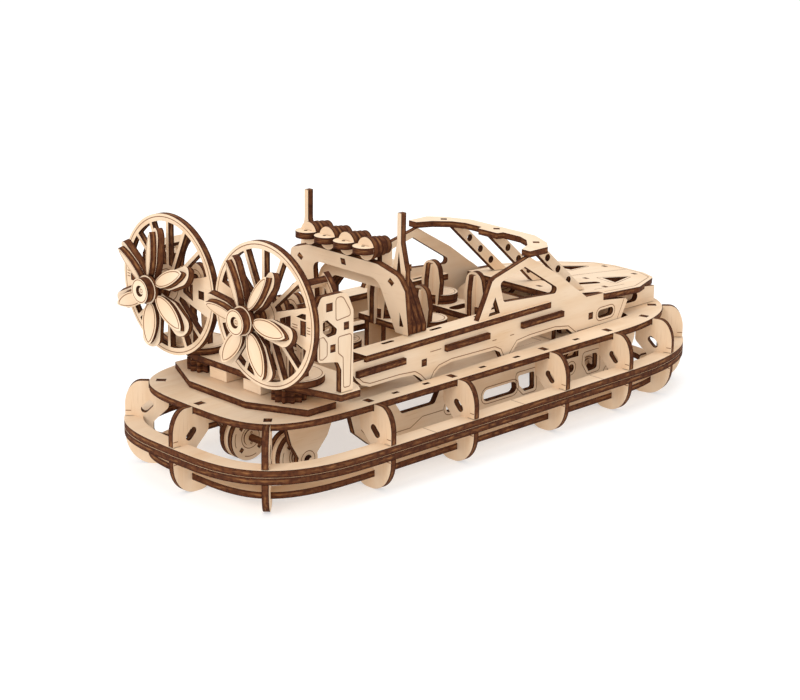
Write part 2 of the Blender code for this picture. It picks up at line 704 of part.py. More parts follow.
def build_seats(name, x):
    """Pair of seats on one bench frame standing on the floor."""
    foot = FLOOR_TOP + GAP
    bench = sheet(box(x - 8, -26, x + 10, 26), flat(10), [slot(x, 0, 14, 6)])
    pieces = [bench]
    for side in (1, -1):
        y = side * SEAT_Y
        pieces.append(rod(8.5, 2 * SHEET, at(x + 1, y, 10 + SHEET * 1.5), 24))
        back = [(-5, 10.5), (5, 10.5), (6.5, 25), *arc(0, 30, 5.4, 10, 170, 8), (-6.5, 25)]
        pieces.append(sheet(back, across(x - 5, y)))
        fin = [(x - 9.5, 10.5), (x + 1, 10.5), (x - 1, 22), (x - 3, 34), (x - 8.4, 34), (x - 9.5, 26)]
        pieces.append(sheet(fin, along(y)))
        pieces.append(sheet(box(x - 7, foot, x + 8, 11), along(side * (SEAT_Y - 6))))
        pieces.append(sheet(box(x - 7, foot, x + 8, 11), along(side * (SEAT_Y + 6))))
    finish(name, pieces)


def build_dashboard():
    """Upright dashboard with the steering column's boss."""
    foot = FLOOR_TOP + GAP
    outline = rounded([(-33, foot), (33, foot), (33, 10, 2), (28, 14, 3), (-28, 14, 3), (-33, 10, 2)])
    holes = [slot(0, 6, 20, 4), slot(20, 7, 8, 3), circle(-SEAT_Y, 8, DOWEL_HOLE, 16)]
    finish("dashboard", [sheet(outline, across(DASH_X), holes)])


def build_steering_wheel():
    """Steering wheel on a short column that enters the dashboard."""
    place = across(DASH_X - 16, -SEAT_Y, 8)
    rim = sheet(circle(0, 0, 6.5, 24), place, [slot(0, 3.2, 7, 2), slot(0, -3.2, 7, 2)])
    column = rod(DOWEL, 18, shifted(place, 9), 16)
    finish("steering_wheel", [rim, column], colour=BURNT)


def build_roof():
    """Roof bow over the windshield."""
    outline = both_halves([(197.5, 22), (191, 36), (185, 42), (172, 42), (172, 36.5), (180, 33), (187, 26), (190, 19),
                           (190, 7.5), (186.5, 6.5)])
    holes = [turned_box(193, 0, 3, 3, 45), turned_box(187.4, 32, 3, 3, 45), turned_box(187.4, -32, 3, 3, 45)]
    finish("roof_bow", [sheet(outline, flat(ROOF_BOTTOM), holes)])


def nose_top(x):
    """Height of the nose plate's top face."""
    return NOSE_HEIGHT - NOSE_SLOPE * (x - NOSE_X)


def build_pillars():
    """Three windshield pillars from the roof bow down to the nose plate."""
    top = ROOF_BOTTOM - GAP
    outline = [(188, top), (196, top), (230, nose_top(230) + GAP), (220, nose_top(220) + GAP)]
    holes = []
    for part in (0.25, 0.5, 0.75):
        x = 192 + (225 - 192) * part
        h = top + (nose_top(225) - top) * part
        holes.append(circle(x, h, 1.9, 12))
    for name, y in (("pillar_port", 27), ("pillar_middle", 0), ("pillar_starboard", -27)):
        finish(name, [sheet(outline, along(y), holes)])


def build_nose():
    """Sloping nose plate with the bearers that carry it on the floor and the deck."""
    plan = rounded([(-29, 31), (-0.2, 34.5), (-0.2, 39), (33, 35, 8), (62, 21, 8), (67, 10, 4),
                    (67, -10, 4), (62, -21, 8), (33, -35, 8), (-0.2, -39), (-0.2, -34.5), (-29, -31)])
    holes = [[(-8, -4), (-8, 4), (2, 0)], slot(22, 0, 22, 5), slot(14, 20, 26, 5, -8), slot(14, -20, 26, 5, 8),
             [(46, -8), (46, 8), (56, 0)], box(-22, -14, -19, -10), box(-22, 10, -19, 14)]
    slope = Matrix.Rotation(atan2(NOSE_SLOPE, 1), 4, "Y")
    place = at(NOSE_X, 0, NOSE_HEIGHT) @ slope @ Matrix.Translation((0, 0, -SHEET / 2 * MM))
    pieces = [sheet(plan, place, holes)]
    low = FLOOR_TOP + GAP
    bearer = [(212, low), (255, low), (256, GAP), (286, GAP), (286, nose_top(286) - 2), (212, nose_top(212) - 2)]
    windows = [slot(228, 5, 20, 6), slot(264, 5.5, 16, 5)]
    for y in (28, -28):
        pieces.append(sheet(bearer, along(y), windows))
    finish("nose", pieces)


def build_engine():
    """Engine block amidships: bench, slotted wall and stacks of round plates."""
    foot = FLOOR_TOP + GAP
    pieces = [sheet(box(58, -30, 92, 30), flat(4))]
    for y in (24, -24):
        pieces.append(sheet(box(60, foot, 88, 5), along(y)))
    wall = rounded([(-24, 6), (24, 6), (24, 16, 3), (18, 22, 3), (-18, 22, 3), (-24, 16, 3)])
    pieces.append(sheet(wall, across(64), [slot(-8, 14, 14, 3), slot(9, 13.6, 14, 3)]))
    for x, y, radius, low, high in ((78, -10, 9, 6.5, 17), (76, 12, 8, 6, 21), (78, -10, 5, 16, 22)):
        pieces.append(rod(radius, high - low, at(x, y, (low + high) / 2), 28))
    finish("engine", pieces)


# Build

def build_model():
    """Every node of the model."""
    build_deck()
    lower_top = RING_TOP - SHEET - GAP
    build_ring("mid_ring_upper", 0, RING_WIDTH, RING_TOP, RIB_LAP, True)
    build_ring("mid_ring_lower", 0, RING_WIDTH, lower_top, RIB_LAP, True)
    build_ring("bottom_ring", BOTTOM_RING_INSET, BOTTOM_RING_WIDTH, BOTTOM_RING_TOP, RIB_FOOT_LAP, False)
    build_ribs()
    build_hull_floor()
    build_hull_sides()
    build_wheels("front_wheels", FRONT_AXLE_X, 38.5)
    build_wheels("rear_wheels", REAR_AXLE_X, 30.5)
    build_rear_bracket()
    build_platforms()
    build_gears()
    build_fan_rings()
    build_propellers()
    build_fan_mounts()
    build_nacelles()
    build_side_panels()
    build_arches()
    build_lamps()
    build_antennas()
    build_seats("seats_rear", REAR_SEAT_X)
    build_seats("seats_front", FRONT_SEAT_X)
    build_dashboard()
    build_steering_wheel()
    build_roof()
    build_pillars()
    build_nose()
    build_engine()


build_model()
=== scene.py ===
# %% [markdown]
# # A plywood hovercraft, sheet by sheet
# The real model is a flat-pack kit: every piece is a shape that a laser cut out of thin birch
# ply. That gives it two finishes only, the pale sheet face and the burnt brown cut edge, and
# thin scorched lines drawn on the faces.

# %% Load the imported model
from math import acos, atan2, cos, degrees, hypot, pi, radians, sin, tan

import bmesh
import bpy
from mathutils import Matrix, Vector
from mathutils.geometry import delaunay_2d_cdt


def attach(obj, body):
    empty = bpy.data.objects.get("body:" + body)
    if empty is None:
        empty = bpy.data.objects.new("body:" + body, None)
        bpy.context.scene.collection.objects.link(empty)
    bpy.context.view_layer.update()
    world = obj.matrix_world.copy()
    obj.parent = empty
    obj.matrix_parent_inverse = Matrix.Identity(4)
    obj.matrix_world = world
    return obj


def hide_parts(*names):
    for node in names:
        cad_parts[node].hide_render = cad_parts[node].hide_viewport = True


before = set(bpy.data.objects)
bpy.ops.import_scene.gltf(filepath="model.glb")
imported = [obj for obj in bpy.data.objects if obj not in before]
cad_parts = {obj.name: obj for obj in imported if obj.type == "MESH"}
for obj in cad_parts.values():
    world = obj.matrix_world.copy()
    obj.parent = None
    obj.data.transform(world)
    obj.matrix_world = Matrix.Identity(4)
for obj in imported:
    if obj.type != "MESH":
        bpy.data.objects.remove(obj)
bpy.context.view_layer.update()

MM = 0.001
SHEET = 3.2
DECK_HEIGHT = 40.7
MIDDLE = 144.8

# %% [markdown]
# ## Shader maths that reads like maths
# A wood shader is a long sum of noises and masks. Wiring each Math node by hand hides the idea,
# so a small class wraps a socket and lets Python's own operators add the nodes.

# %% A socket that behaves like a number
class Value:
    """One socket of a node tree; arithmetic on it adds Math nodes."""

    def __init__(self, graph, socket):
        self.graph = graph
        self.socket = socket

    def math(self, operation, *others):
        sockets = dict(enumerate((self, *others)))
        return self.graph.add("ShaderNodeMath", {"operation": operation}, sockets)

    def __add__(self, other):
        return self.math("ADD", other)

    def __sub__(self, other):
        return self.math("SUBTRACT", other)

    def __rsub__(self, other):
        return self.graph.add("ShaderNodeMath", {"operation": "SUBTRACT"}, {0: other, 1: self})

    def __mul__(self, other):
        return self.math("MULTIPLY", other)

    __radd__ = __add__
    __rmul__ = __mul__


class Graph:
    """A node tree with one method that adds any node."""

    def __init__(self, tree):
        self.tree = tree

    def add(self, kind, settings=None, inputs=None, output=0):
        node = self.tree.nodes.new(kind)
        for name, setting in (settings or {}).items():
            setattr(node, name, setting)
        for name, value in (inputs or {}).items():
            if isinstance(value, Value):
                self.tree.links.new(value.socket, node.inputs[name])
            else:
                node.inputs[name].default_value = value
        return Value(self, node.outputs[output])

    def ramp(self, factor, stops):
        """Colour ramp with (position, colour) stops."""
        made = self.add("ShaderNodeValToRGB", None, {0: factor})
        elements = made.socket.node.color_ramp.elements
        elements[0].position, elements[0].color = stops[0][0], (*stops[0][1], 1)
        elements[1].position, elements[1].color = stops[-1][0], (*stops[-1][1], 1)
        for position, colour in stops[1:-1]:
            elements.new(position).color = (*colour, 1)
        return made

    def step(self, value, low, high):
        """Smooth step from 0 at low to 1 at high."""
        inputs = {"Value": value, "From Min": low, "From Max": high}
        return self.add("ShaderNodeMapRange", {"interpolation_type": "SMOOTHSTEP"}, inputs)

    def mix(self, factor, first, second):
        """Colour mix; a colour may be a link or three numbers."""
        ends = [c if isinstance(c, Value) else (*c, 1) for c in (first, second)]
        inputs = {0: factor, 6: ends[0], 7: ends[1]}
        return self.add("ShaderNodeMix", {"data_type": "RGBA"}, inputs, 2)


def new_material(name):
    """Material with an empty graph and its Principled shader."""
    material = bpy.data.materials.new(name)
    material.use_nodes = True
    graph = Graph(material.node_tree)
    shader = material.node_tree.nodes["Principled BSDF"]
    return material, graph, shader


# %% [markdown]
# ## The face of the sheet
# Birch is pale and quiet: long soft bands, a few darker threads along the grain and hardly any
# shine. The bands are noises squeezed along one axis. They read the piece's own UV map, which
# holds each sheet's plane in centimetres, so the grain runs along every sheet whichever way it
# stands. A number stored on each face shifts the tone a little from sheet to sheet.

# %% Birch face
PALE = (0.78, 0.60, 0.425)
HONEY = (0.68, 0.455, 0.265)
THREAD = (0.50, 0.30, 0.145)


def stretched_noise(graph, uv, across, along, detail, scale=1.0):
    """Noise squeezed along the sheet's grain."""
    scaled = graph.add("ShaderNodeVectorMath", {"operation": "MULTIPLY"}, {0: uv, 1: (along, across, 1)})
    return graph.add("ShaderNodeTexNoise", None,
                     {"Vector": scaled, "Scale": scale, "Detail": detail, "Roughness": 0.55})


def make_birch():
    material, graph, shader = new_material("birch_face")
    uv = graph.add("ShaderNodeUVMap", {"uv_map": "sheet"})
    tone = graph.add("ShaderNodeAttribute", {"attribute_name": "tone"}, None, 2)
    bands = stretched_noise(graph, uv, 1.6, 0.22, 3.0)
    threads = stretched_noise(graph, uv, 17.0, 0.6, 2.0)
    clouds = stretched_noise(graph, uv, 0.35, 0.3, 1.0)
    fibre = stretched_noise(graph, uv, 60.0, 3.0, 2.0)
    warmth = graph.step(bands * 0.7 + clouds * 0.5 + tone, 0.42, 1.0)
    colour = graph.mix(warmth, PALE, HONEY)
    colour = graph.mix(graph.step(threads, 0.60, 0.74) * 0.30, colour, THREAD)
    shader.inputs["Roughness"].default_value = 0.62
    bump = graph.add("ShaderNodeBump", None, {"Strength": 0.10, "Distance": 0.0002, "Height": fibre + threads})
    material.node_tree.links.new(colour.socket, shader.inputs["Base Color"])
    material.node_tree.links.new(bump.socket, shader.inputs["Normal"])
    shader.inputs["Specular IOR Level"].default_value = 0.3
    return material


birch = make_birch()
print("birch nodes", len(birch.node_tree.nodes))

# %% [markdown]
# ## The cut edge
# The laser burns what it cuts. An edge is brown, darkest along its two borders, with a paler
# scorched core where the middle ply shows, and it is streaked along its length. On these faces
# the UV map holds the distance along the edge and, across it, 0 to 1 through the sheet.

# %% Burnt edge
CHAR = (0.035, 0.012, 0.007)
TOAST = (0.105, 0.036, 0.015)
BURNT = (0.058, 0.019, 0.010)
CORE = (0.34, 0.155, 0.058)


def make_edge():
    material, graph, shader = new_material("burnt_edge")
    uv = graph.add("ShaderNodeUVMap", {"uv_map": "sheet"})
    split = graph.add("ShaderNodeSeparateXYZ", None, {0: uv})
    depth = Value(graph, split.socket.node.outputs[1])
    tone = graph.add("ShaderNodeAttribute", {"attribute_name": "tone"}, None, 2)
    streaks = stretched_noise(graph, uv, 2.5, 1.4, 3.0)
    soot = stretched_noise(graph, uv, 1.0, 5.0, 2.0)
    off_middle = (depth - 0.5).math("ABSOLUTE")
    core = (1 - graph.step(off_middle, 0.10, 0.24)) * graph.step(streaks, 0.45, 0.70)
    border = graph.step(off_middle + soot * 0.10, 0.40, 0.50)
    body = graph.mix(graph.step(soot + tone, 0.35, 0.7), TOAST, BURNT)
    colour = graph.mix(core * 0.7, body, CORE)
    colour = graph.mix(border, colour, CHAR)
    shader.inputs["Roughness"].default_value = 0.7
    shader.inputs["Specular IOR Level"].default_value = 0.04
    bump = graph.add("ShaderNodeBump", None, {"Strength": 0.25, "Distance": 0.0003, "Height": streaks})
    material.node_tree.links.new(colour.socket, shader.inputs["Base Color"])
    material.node_tree.links.new(bump.socket, shader.inputs["Normal"])
    return material


edge = make_edge()

# %% [markdown]
# ## Engraved lines
# Where the laser only marks the sheet, it leaves a thin brown line. A real line is a shallow
# groove of a third of a millimetre. At that size a ribbon lying on the face looks the same and
# costs far less than cutting every face.

# %% Engraving
def make_engraving():
    material, graph, shader = new_material("engraved_line")
    uv = graph.add("ShaderNodeUVMap", {"uv_map": "sheet"})
    soot = stretched_noise(graph, uv, 6.0, 6.0, 1.0)
    colour = graph.mix(soot, (0.14, 0.052, 0.020), (0.28, 0.125, 0.050))
    shader.inputs["Roughness"].default_value = 0.8
    material.node_tree.links.new(colour.socket, shader.inputs["Base Color"])
    return material


engraving = make_engraving()
FINISHES = (birch, edge, engraving)
FACE, CUT, MARK = 0, 1, 2

# %% [markdown]
# ## Outlines
# Every piece starts as a plan: a closed outline, its holes, and open lines that are only
# engraved. These helpers draw the few shapes that a kit designer uses again and again.

# %% Outline helpers
def box(x0, y0, x1, y1):
    """Rectangle from one corner to the other."""
    return [(x0, y0), (x1, y0), (x1, y1), (x0, y1)]


def arc(x, y, radius, start, end, steps=12, flatten=1.0):
    """Points on an arc, in degrees; flatten scales its height."""
    turns = [radians(start + (end - start) * i / steps) for i in range(steps + 1)]
    return [(x + radius * cos(t), y + radius * flatten * sin(t)) for t in turns]


def circle(x, y, radius, steps=32):
    """Full circle."""
    return arc(x, y, radius, 0, 360 * (1 - 1 / steps), steps - 1)


def turned(points, x, y, angle):
    """Points turned about the origin and moved."""
    c, s = cos(radians(angle)), sin(radians(angle))
    return [(x + u * c - v * s, y + u * s + v * c) for u, v in points]


def slot(x, y, length, width, angle=0.0, steps=8):
    """Slot with round ends, centred on x, y."""
    reach = (length - width) / 2
    ends = arc(reach, 0, width / 2, -90, 90, steps) + arc(-reach, 0, width / 2, 90, 270, steps)
    return turned(ends, x, y, angle)


def turned_box(x, y, length, width, angle):
    """Rectangle about its centre, turned by an angle."""
    return turned(box(-length / 2, -width / 2, length / 2, width / 2), x, y, angle)


def rounded(corners, steps=5):
    """Polygon whose corners may carry a radius as a third value."""
    outline = []
    for i, corner in enumerate(corners):
        here = Vector(corner[:2])
        if len(corner) == 2:
            outline.append(tuple(here))
            continue
        back = (Vector(corners[i - 1][:2]) - here).normalized()
        on = (Vector(corners[(i + 1) % len(corners)][:2]) - here).normalized()
        half = acos(max(-1.0, min(1.0, back.dot(on)))) / 2
        centre = here + (back + on).normalized() * corner[2] / sin(half)
        first = here + back * corner[2] / tan(half) - centre
        last = here + on * corner[2] / tan(half) - centre
        start = atan2(first.y, first.x)
        sweep = (atan2(last.y, last.x) - start + pi) % (2 * pi) - pi
        outline += arc(*centre, corner[2], degrees(start), degrees(start + sweep), steps)
    return outline


def mirrored(points, side):
    """Points with their first value on the given side."""
    return [(x * side, y) for x, y in points]


def mirrored_y(points, side):
    """Points with their second value on the given side."""
    return [(x, y * side) for x, y in points]


def both_halves(points):
    """Outline drawn on the port side of the middle line and closed on the starboard side."""
    return points + [(x, -y) for x, y in reversed(points)]


def inset_path(points, distance, closed=True):
    """Line that keeps a distance inside a counter-clockwise outline."""
    line = []
    count = len(points)
    for i in range(count):
        before, here, after = (Vector(points[(i + k) % count]) for k in (-1, 0, 1))
        if not closed and i in (0, count - 1):
            run = (after - here) if i == 0 else (here - before)
        else:
            run = (here - before).normalized() + (after - here).normalized()
        run.normalize()
        line.append((here.x - run.y * distance, here.y + run.x * distance))
    return line


# %% [markdown]
# ## One cut sheet
# A sheet is two copies of its plan, a thickness apart, with a wall between them along every
# outline. The plan with its holes is split into triangles by a constrained Delaunay routine,
# which is steadier than a hand-made fill.

# %% Sheets and pieces
ENGRAVE_WIDTH = 0.42
ENGRAVE_LIFT = 0.025
TAB_SINK = 0.15
TAB_EASE = 0.05


def inside(point, loop):
    """True where a point lies inside a closed loop."""
    x, y = point
    odd = False
    for (x0, y0), (x1, y1) in zip(loop, loop[1:] + loop[:1]):
        if (y0 > y) != (y1 > y) and x < (x1 - x0) * (y - y0) / (y1 - y0) + x0:
            odd = not odd
    return odd


def filled(loops):
    """Triangles of a plan with holes, as plan points and index triples."""
    points, edges = [], []
    for loop in loops:
        first = len(points)
        points += [Vector(p) for p in loop]
        edges += [(first + i, first + (i + 1) % len(loop)) for i in range(len(loop))]
    corners, _, triangles, *_ = delaunay_2d_cdt(points, edges, [], 0, 0.0001)
    kept = []
    for a, b, c in triangles:
        middle = (corners[a] + corners[b] + corners[c]) / 3
        if sum(inside(middle, loop) for loop in loops) % 2:
            kept.append((a, b, c))
    return corners, kept


def signed_area(loop):
    """Positive for a counter-clockwise loop."""
    return sum(a[0] * b[1] - b[0] * a[1] for a, b in zip(loop, loop[1:] + loop[:1])) / 2


class Ply:
    """Sheets that end as one object, with their faces, cut edges and engraved lines."""

    made = 0

    def __init__(self, name):
        self.name = name
        self.points = []
        self.faces = []
        self.kinds = []
        self.uvs = []
        self.tones = []

    def face(self, corners, uvs, kind, tone):
        first = len(self.points)
        self.points += corners
        self.faces.append(tuple(range(first, first + len(corners))))
        self.kinds.append(kind)
        self.uvs += uvs
        self.tones.append(tone)

    def sheet(self, outline, place, holes=(), thickness=SHEET, marks=(), sides=(1, -1), grain=0.0,
              layers=1, kind=FACE, tabs=(), wall_kind=CUT):
        """Cut one sheet. Marks are engraved on the given sides; tabs are slots that a burnt tab end fills."""
        Ply.made += 1
        shift = (Ply.made * 3.71 % 11, Ply.made * 7.13 % 13)
        tone = (Ply.made * 0.618 % 1 - 0.5) * 0.16
        loops = [outline if signed_area(outline) > 0 else outline[::-1]]
        loops += [hole[::-1] if signed_area(hole) > 0 else hole for hole in (*holes, *tabs)]
        half = thickness / 2
        corners, triangles = filled(loops)

        def lay(x, y, z):
            return place @ (Vector((x, y, z)) * MM)

        low = min(y for _, y in outline)
        tall = max(y for _, y in outline) - low

        def plan_uv(x, y):
            if kind == CUT:
                return (shift[0] + x / 10, (y - low) / tall)
            return turned([(x / 10, y / 10)], *shift, -grain)[0]

        for level in (half, -half):
            for a, b, c in triangles:
                trio = [corners[i] for i in (a, b, c)]
                up = (trio[1] - trio[0]).cross(trio[2] - trio[0]) > 0
                if up != (level > 0):
                    trio.reverse()
                self.face([lay(p.x, p.y, level) for p in trio], [plan_uv(p.x, p.y) for p in trio], kind, tone)
        for loop in loops:
            run = shift[0]
            for (x0, y0), (x1, y1) in zip(loop, loop[1:] + loop[:1]):
                length = hypot(x1 - x0, y1 - y0) / 10
                for layer in range(layers):
                    foot = -half + thickness * layer / layers
                    head = -half + thickness * (layer + 1) / layers
                    wall = [lay(x0, y0, foot), lay(x1, y1, foot), lay(x1, y1, head), lay(x0, y0, head)]
                    self.face(wall, [(run, 0), (run + length, 0), (run + length, 1), (run, 1)], wall_kind, tone)
                run += length
        for side in sides:
            for mark in marks:
                self.line(mark, place, side * (half + ENGRAVE_LIFT), side)
        for tab in tabs:
            self.sheet(inset_path(tab, TAB_EASE), place, thickness=thickness - 2 * TAB_SINK, kind=CUT)

    def line(self, path, place, level, side, width=ENGRAVE_WIDTH):
        """Engraved ribbon along a path in the sheet's plane."""
        closed = path[0] == path[-1]
        points = [Vector(p) for p in path]
        rails = []
        for i, here in enumerate(points):
            before = points[i - 1] if i else (points[-2] if closed else here)
            after = points[i + 1] if i < len(points) - 1 else (points[1] if closed else here)
            run = (after - before).normalized()
            off = Vector((-run.y, run.x)) * width / 2 * side
            rails.append((here + off, here - off))
        for (a, b), (c, d) in zip(rails, rails[1:]):
            quad = [b, d, c, a]
            self.face([place @ (Vector((p.x, p.y, level)) * MM) for p in quad],
                      [(p.x / 10, p.y / 10) for p in quad], MARK, 0.0)

    def disc(self, radius, place, thickness=SHEET, holes=(), marks=(), steps=40, sides=(1, -1), layers=1, tabs=(),
             wall_kind=CUT):
        """Round sheet about the frame's origin."""
        self.sheet(circle(0, 0, radius, steps), place, holes, thickness, marks, sides, layers=layers, tabs=tabs,
                   wall_kind=wall_kind)

    def build(self):
        """Mesh object with the three finishes."""
        mesh = bpy.data.meshes.new(self.name)
        mesh.from_pydata(self.points, [], self.faces)
        for finish in FINISHES:
            mesh.materials.append(finish)
        mesh.polygons.foreach_set("material_index", self.kinds)
        layer = mesh.uv_layers.new(name="sheet")
        layer.data.foreach_set("uv", [value for uv in self.uvs for value in uv])
        mesh.attributes.new("tone", "FLOAT", "FACE").data.foreach_set("value", self.tones)
        mesh.attributes.new("finish", "INT", "FACE").data.foreach_set("value", self.kinds)
        work = bmesh.new()
        work.from_mesh(mesh)
        bmesh.ops.remove_doubles(work, verts=work.verts, dist=0.000001)
        work.to_mesh(mesh)
        work.free()
        mesh.shade_smooth()
        mesh.set_sharp_from_angle(angle=radians(32))
        made = bpy.data.objects.new(self.name, mesh)
        bpy.context.scene.collection.objects.link(made)
        return made

    def done(self, body, *nodes):
        """Build the object, let it ride on a body and stand for the nodes."""
        return settle(self.build(), body, *nodes)


def settle(made, body, *nodes):
    """Let a finished object ride on a body and stand for CAD nodes."""
    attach(made, body)
    if nodes:
        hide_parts(*nodes)
    print(made.name, len(made.data.polygons), "faces")
    return made


# %% [markdown]
# ## Where pieces stand
# Each sheet is drawn flat and then stood up where it belongs. Three frames do nearly all the
# work: lying flat, standing lengthwise and standing crosswise.

# %% Frames
def at(x, y, height):
    """Frame at a point: x from the stern datum, height from the deck's top face."""
    return Matrix.Translation(Vector((x - MIDDLE, y, DECK_HEIGHT + height)) * MM)


def spin(angle, axis):
    """Turn about an axis, in degrees."""
    return Matrix.Rotation(radians(angle), 4, axis)


def flat(bottom, thickness=SHEET):
    """Sheet lying on a height: its plane's axes are X and Y."""
    return at(0, 0, bottom + thickness / 2)


def along(y, x=0.0, heading=0.0):
    """Sheet standing lengthwise: its plane's axes are the heading and Z."""
    return at(x, y, 0) @ spin(heading, "Z") @ spin(90, "X")


def across(x, y=0.0, height=0.0):
    """Sheet standing crosswise: its plane's axes are Y and Z."""
    return at(x, y, height) @ spin(90, "Z") @ spin(90, "X")


def moved(place, x=0.0, y=0.0, z=0.0):
    """The same frame moved along its own axes."""
    return place @ Matrix.Translation(Vector((x, y, z)) * MM)


# %% [markdown]
# ## The skirt's plan curve
# A superellipse gives such an end from three numbers, and its normal gives the ribs
# their directions, so deck, rings and ribs all follow one curve.

# %% Plan curve of the hull
GAP = 0.3
HALF_BEAM = 65.2
STERN = {"centre": 61.9, "reach": 79.3, "power": 3.23, "way": -1}
BOW = {"centre": 222.0, "reach": 85.0, "power": 2.6, "way": 1}
SIDE_STATIONS = (59.0, 113.0, 177.6, 226.0)
RIB_TAB = (-19.3, -15.3)
RIB_LAP = -4.6
RIB_FOOT_LAP = -15.15
RING_TOP = -17.3
BOTTOM_RING_TOP = -31.4
DECK_INSET = 12.0


def skirt_point(end, angle, inset=0.0):
    """Point of the plan curve where its normal has this angle off the middle line."""
    ratio = (abs(tan(radians(angle))) * HALF_BEAM / end["reach"]) ** (1 / (end["power"] - 1))
    unit = (1 + ratio ** end["power"]) ** (-1 / end["power"])
    sign = 1 if angle >= 0 else -1
    x = end["centre"] + end["way"] * (end["reach"] * unit - inset * cos(radians(angle)))
    y = sign * (HALF_BEAM * unit * ratio - inset * abs(sin(radians(angle))))
    return x, y


def skirt(inset, steps=30):
    """Closed plan outline, inset from the skirt's outer curve."""
    half = [skirt_point(BOW, 89.3 * i / steps, inset) for i in range(steps + 1)]
    half += [skirt_point(STERN, 89.3 * (1 - i / steps), inset) for i in range(steps + 1)]
    return half + [(x, -y) for x, y in reversed(half[1:-1])]


def rib_stations():
    """Places of the ribs: x, y and heading of the outward direction."""
    stations = []
    for angle in (0.0, 45.0, -45.0):
        stations.append((*skirt_point(STERN, angle), 180.0 - angle))
    for x in SIDE_STATIONS:
        stations += [(x, HALF_BEAM, 90.0), (x, -HALF_BEAM, -90.0)]
    for angle in (74.0, -74.0, 45.0, -45.0, 0.0):
        stations.append((*skirt_point(BOW, angle), angle))
    return stations


stations = rib_stations()
print(len(stations), "ribs")

# %% [markdown]
# ## Repeats with Geometry Nodes
# Blades sit round a hub, lamps along a bar and ribs round the skirt. Each repeat is a small
# node tree with named inputs, so its count or spacing is one number to change. The result is
# turned into a plain mesh before it joins the model.

# %% Node trees for repeats
def start_tree(name, inputs):
    """Tree with a geometry in and out and some named inputs."""
    tree = bpy.data.node_groups.new(name, "GeometryNodeTree")
    tree.interface.new_socket("Geometry", in_out="INPUT", socket_type="NodeSocketGeometry")
    for label, kind, default in inputs:
        socket = tree.interface.new_socket(label, in_out="INPUT", socket_type=kind)
        if default is not None:
            socket.default_value = default
    tree.interface.new_socket("Geometry", in_out="OUTPUT", socket_type="NodeSocketGeometry")
    graph = Graph(tree)
    source = tree.nodes.new("NodeGroupInput")
    given = {socket.name: Value(graph, socket) for socket in source.outputs if socket.name}
    return graph, given


def end_tree(graph, instances):
    """Make the copies real and give each face its finish again."""
    result = graph.add("GeometryNodeRealizeInstances", None, {"Geometry": instances})
    for number, finish in enumerate(FINISHES):
        kind = graph.add("GeometryNodeInputNamedAttribute", {"data_type": "INT"}, {"Name": "finish"})
        chosen = graph.add("FunctionNodeCompare", {"data_type": "INT", "operation": "EQUAL"}, {2: kind, 3: number})
        result = graph.add("GeometryNodeSetMaterial", None,
                           {"Geometry": result, "Selection": chosen, "Material": finish})
    sink = graph.tree.nodes.new("NodeGroupOutput")
    graph.tree.links.new(result.socket, sink.inputs[0])
    return graph.tree


def round_array_tree():
    """Copies of the given piece, turned about the local Z axis."""
    graph, given = start_tree("Round array", [("Count", "NodeSocketInt", 6), ("Start", "NodeSocketFloat", 0.0)])
    points = graph.add("GeometryNodeMeshLine", None, {"Count": given["Count"], "Offset": (0, 0, 0)})
    index = graph.add("GeometryNodeInputIndex")
    share = graph.add("ShaderNodeMath", {"operation": "DIVIDE"}, {0: index, 1: given["Count"]})
    angle = share * (2 * pi) + given["Start"]
    turn = graph.add("ShaderNodeCombineXYZ", None, {"Z": angle})
    copies = graph.add("GeometryNodeInstanceOnPoints", None,
                       {"Points": points, "Instance": given["Geometry"], "Rotation": turn})
    return end_tree(graph, copies)


def row_tree():
    """Copies of the given piece along a straight line."""
    graph, given = start_tree("Row", [("Count", "NodeSocketInt", 4), ("Step", "NodeSocketVector", (0, 0, 0))])
    points = graph.add("GeometryNodeMeshLine", None, {"Count": given["Count"], "Offset": given["Step"]})
    copies = graph.add("GeometryNodeInstanceOnPoints", None,
                       {"Points": points, "Instance": given["Geometry"]})
    return end_tree(graph, copies)


def station_tree():
    """A piece at every point of a mesh, turned to the point's heading."""
    graph, given = start_tree("Stations", [("Piece", "NodeSocketObject", None)])
    heading = graph.add("GeometryNodeInputNamedAttribute", {"data_type": "FLOAT"}, {"Name": "heading"})
    turn = graph.add("ShaderNodeCombineXYZ", None, {"Z": heading})
    piece = graph.add("GeometryNodeObjectInfo", None, {"Object": given["Piece"]}, "Geometry")
    copies = graph.add("GeometryNodeInstanceOnPoints", None,
                       {"Points": given["Geometry"], "Instance": piece, "Rotation": turn})
    return end_tree(graph, copies)


ROUND_ARRAY, ROW, STATIONS = round_array_tree(), row_tree(), station_tree()


def grown(name, base, tree, values, place=None):
    """Plain mesh object of a base with a node tree on it."""
    modifier = base.modifiers.new(tree.name, "NODES")
    modifier.node_group = tree
    for item in tree.interface.items_tree:
        if item.in_out == "INPUT" and item.name in values:
            modifier[item.identifier] = values[item.name]
    bpy.context.view_layer.update()
    evaluated = base.evaluated_get(bpy.context.evaluated_depsgraph_get())
    mesh = bpy.data.meshes.new_from_object(evaluated)
    base.modifiers.remove(modifier)
    if place is not None:
        mesh.transform(place)
    made = bpy.data.objects.new(name, mesh)
    bpy.context.scene.collection.objects.link(made)
    bpy.data.objects.remove(base, do_unlink=True)
    return made


# %% [markdown]
# ## Deck and skirt rings
# The deck is the sheet that everything hangs on. Its well is open to the floor plate below, and
# the ribs' tabs come up through small slots, where their burnt ends show as dark squares. The
# rings below it are plain bands on the same plan curve.

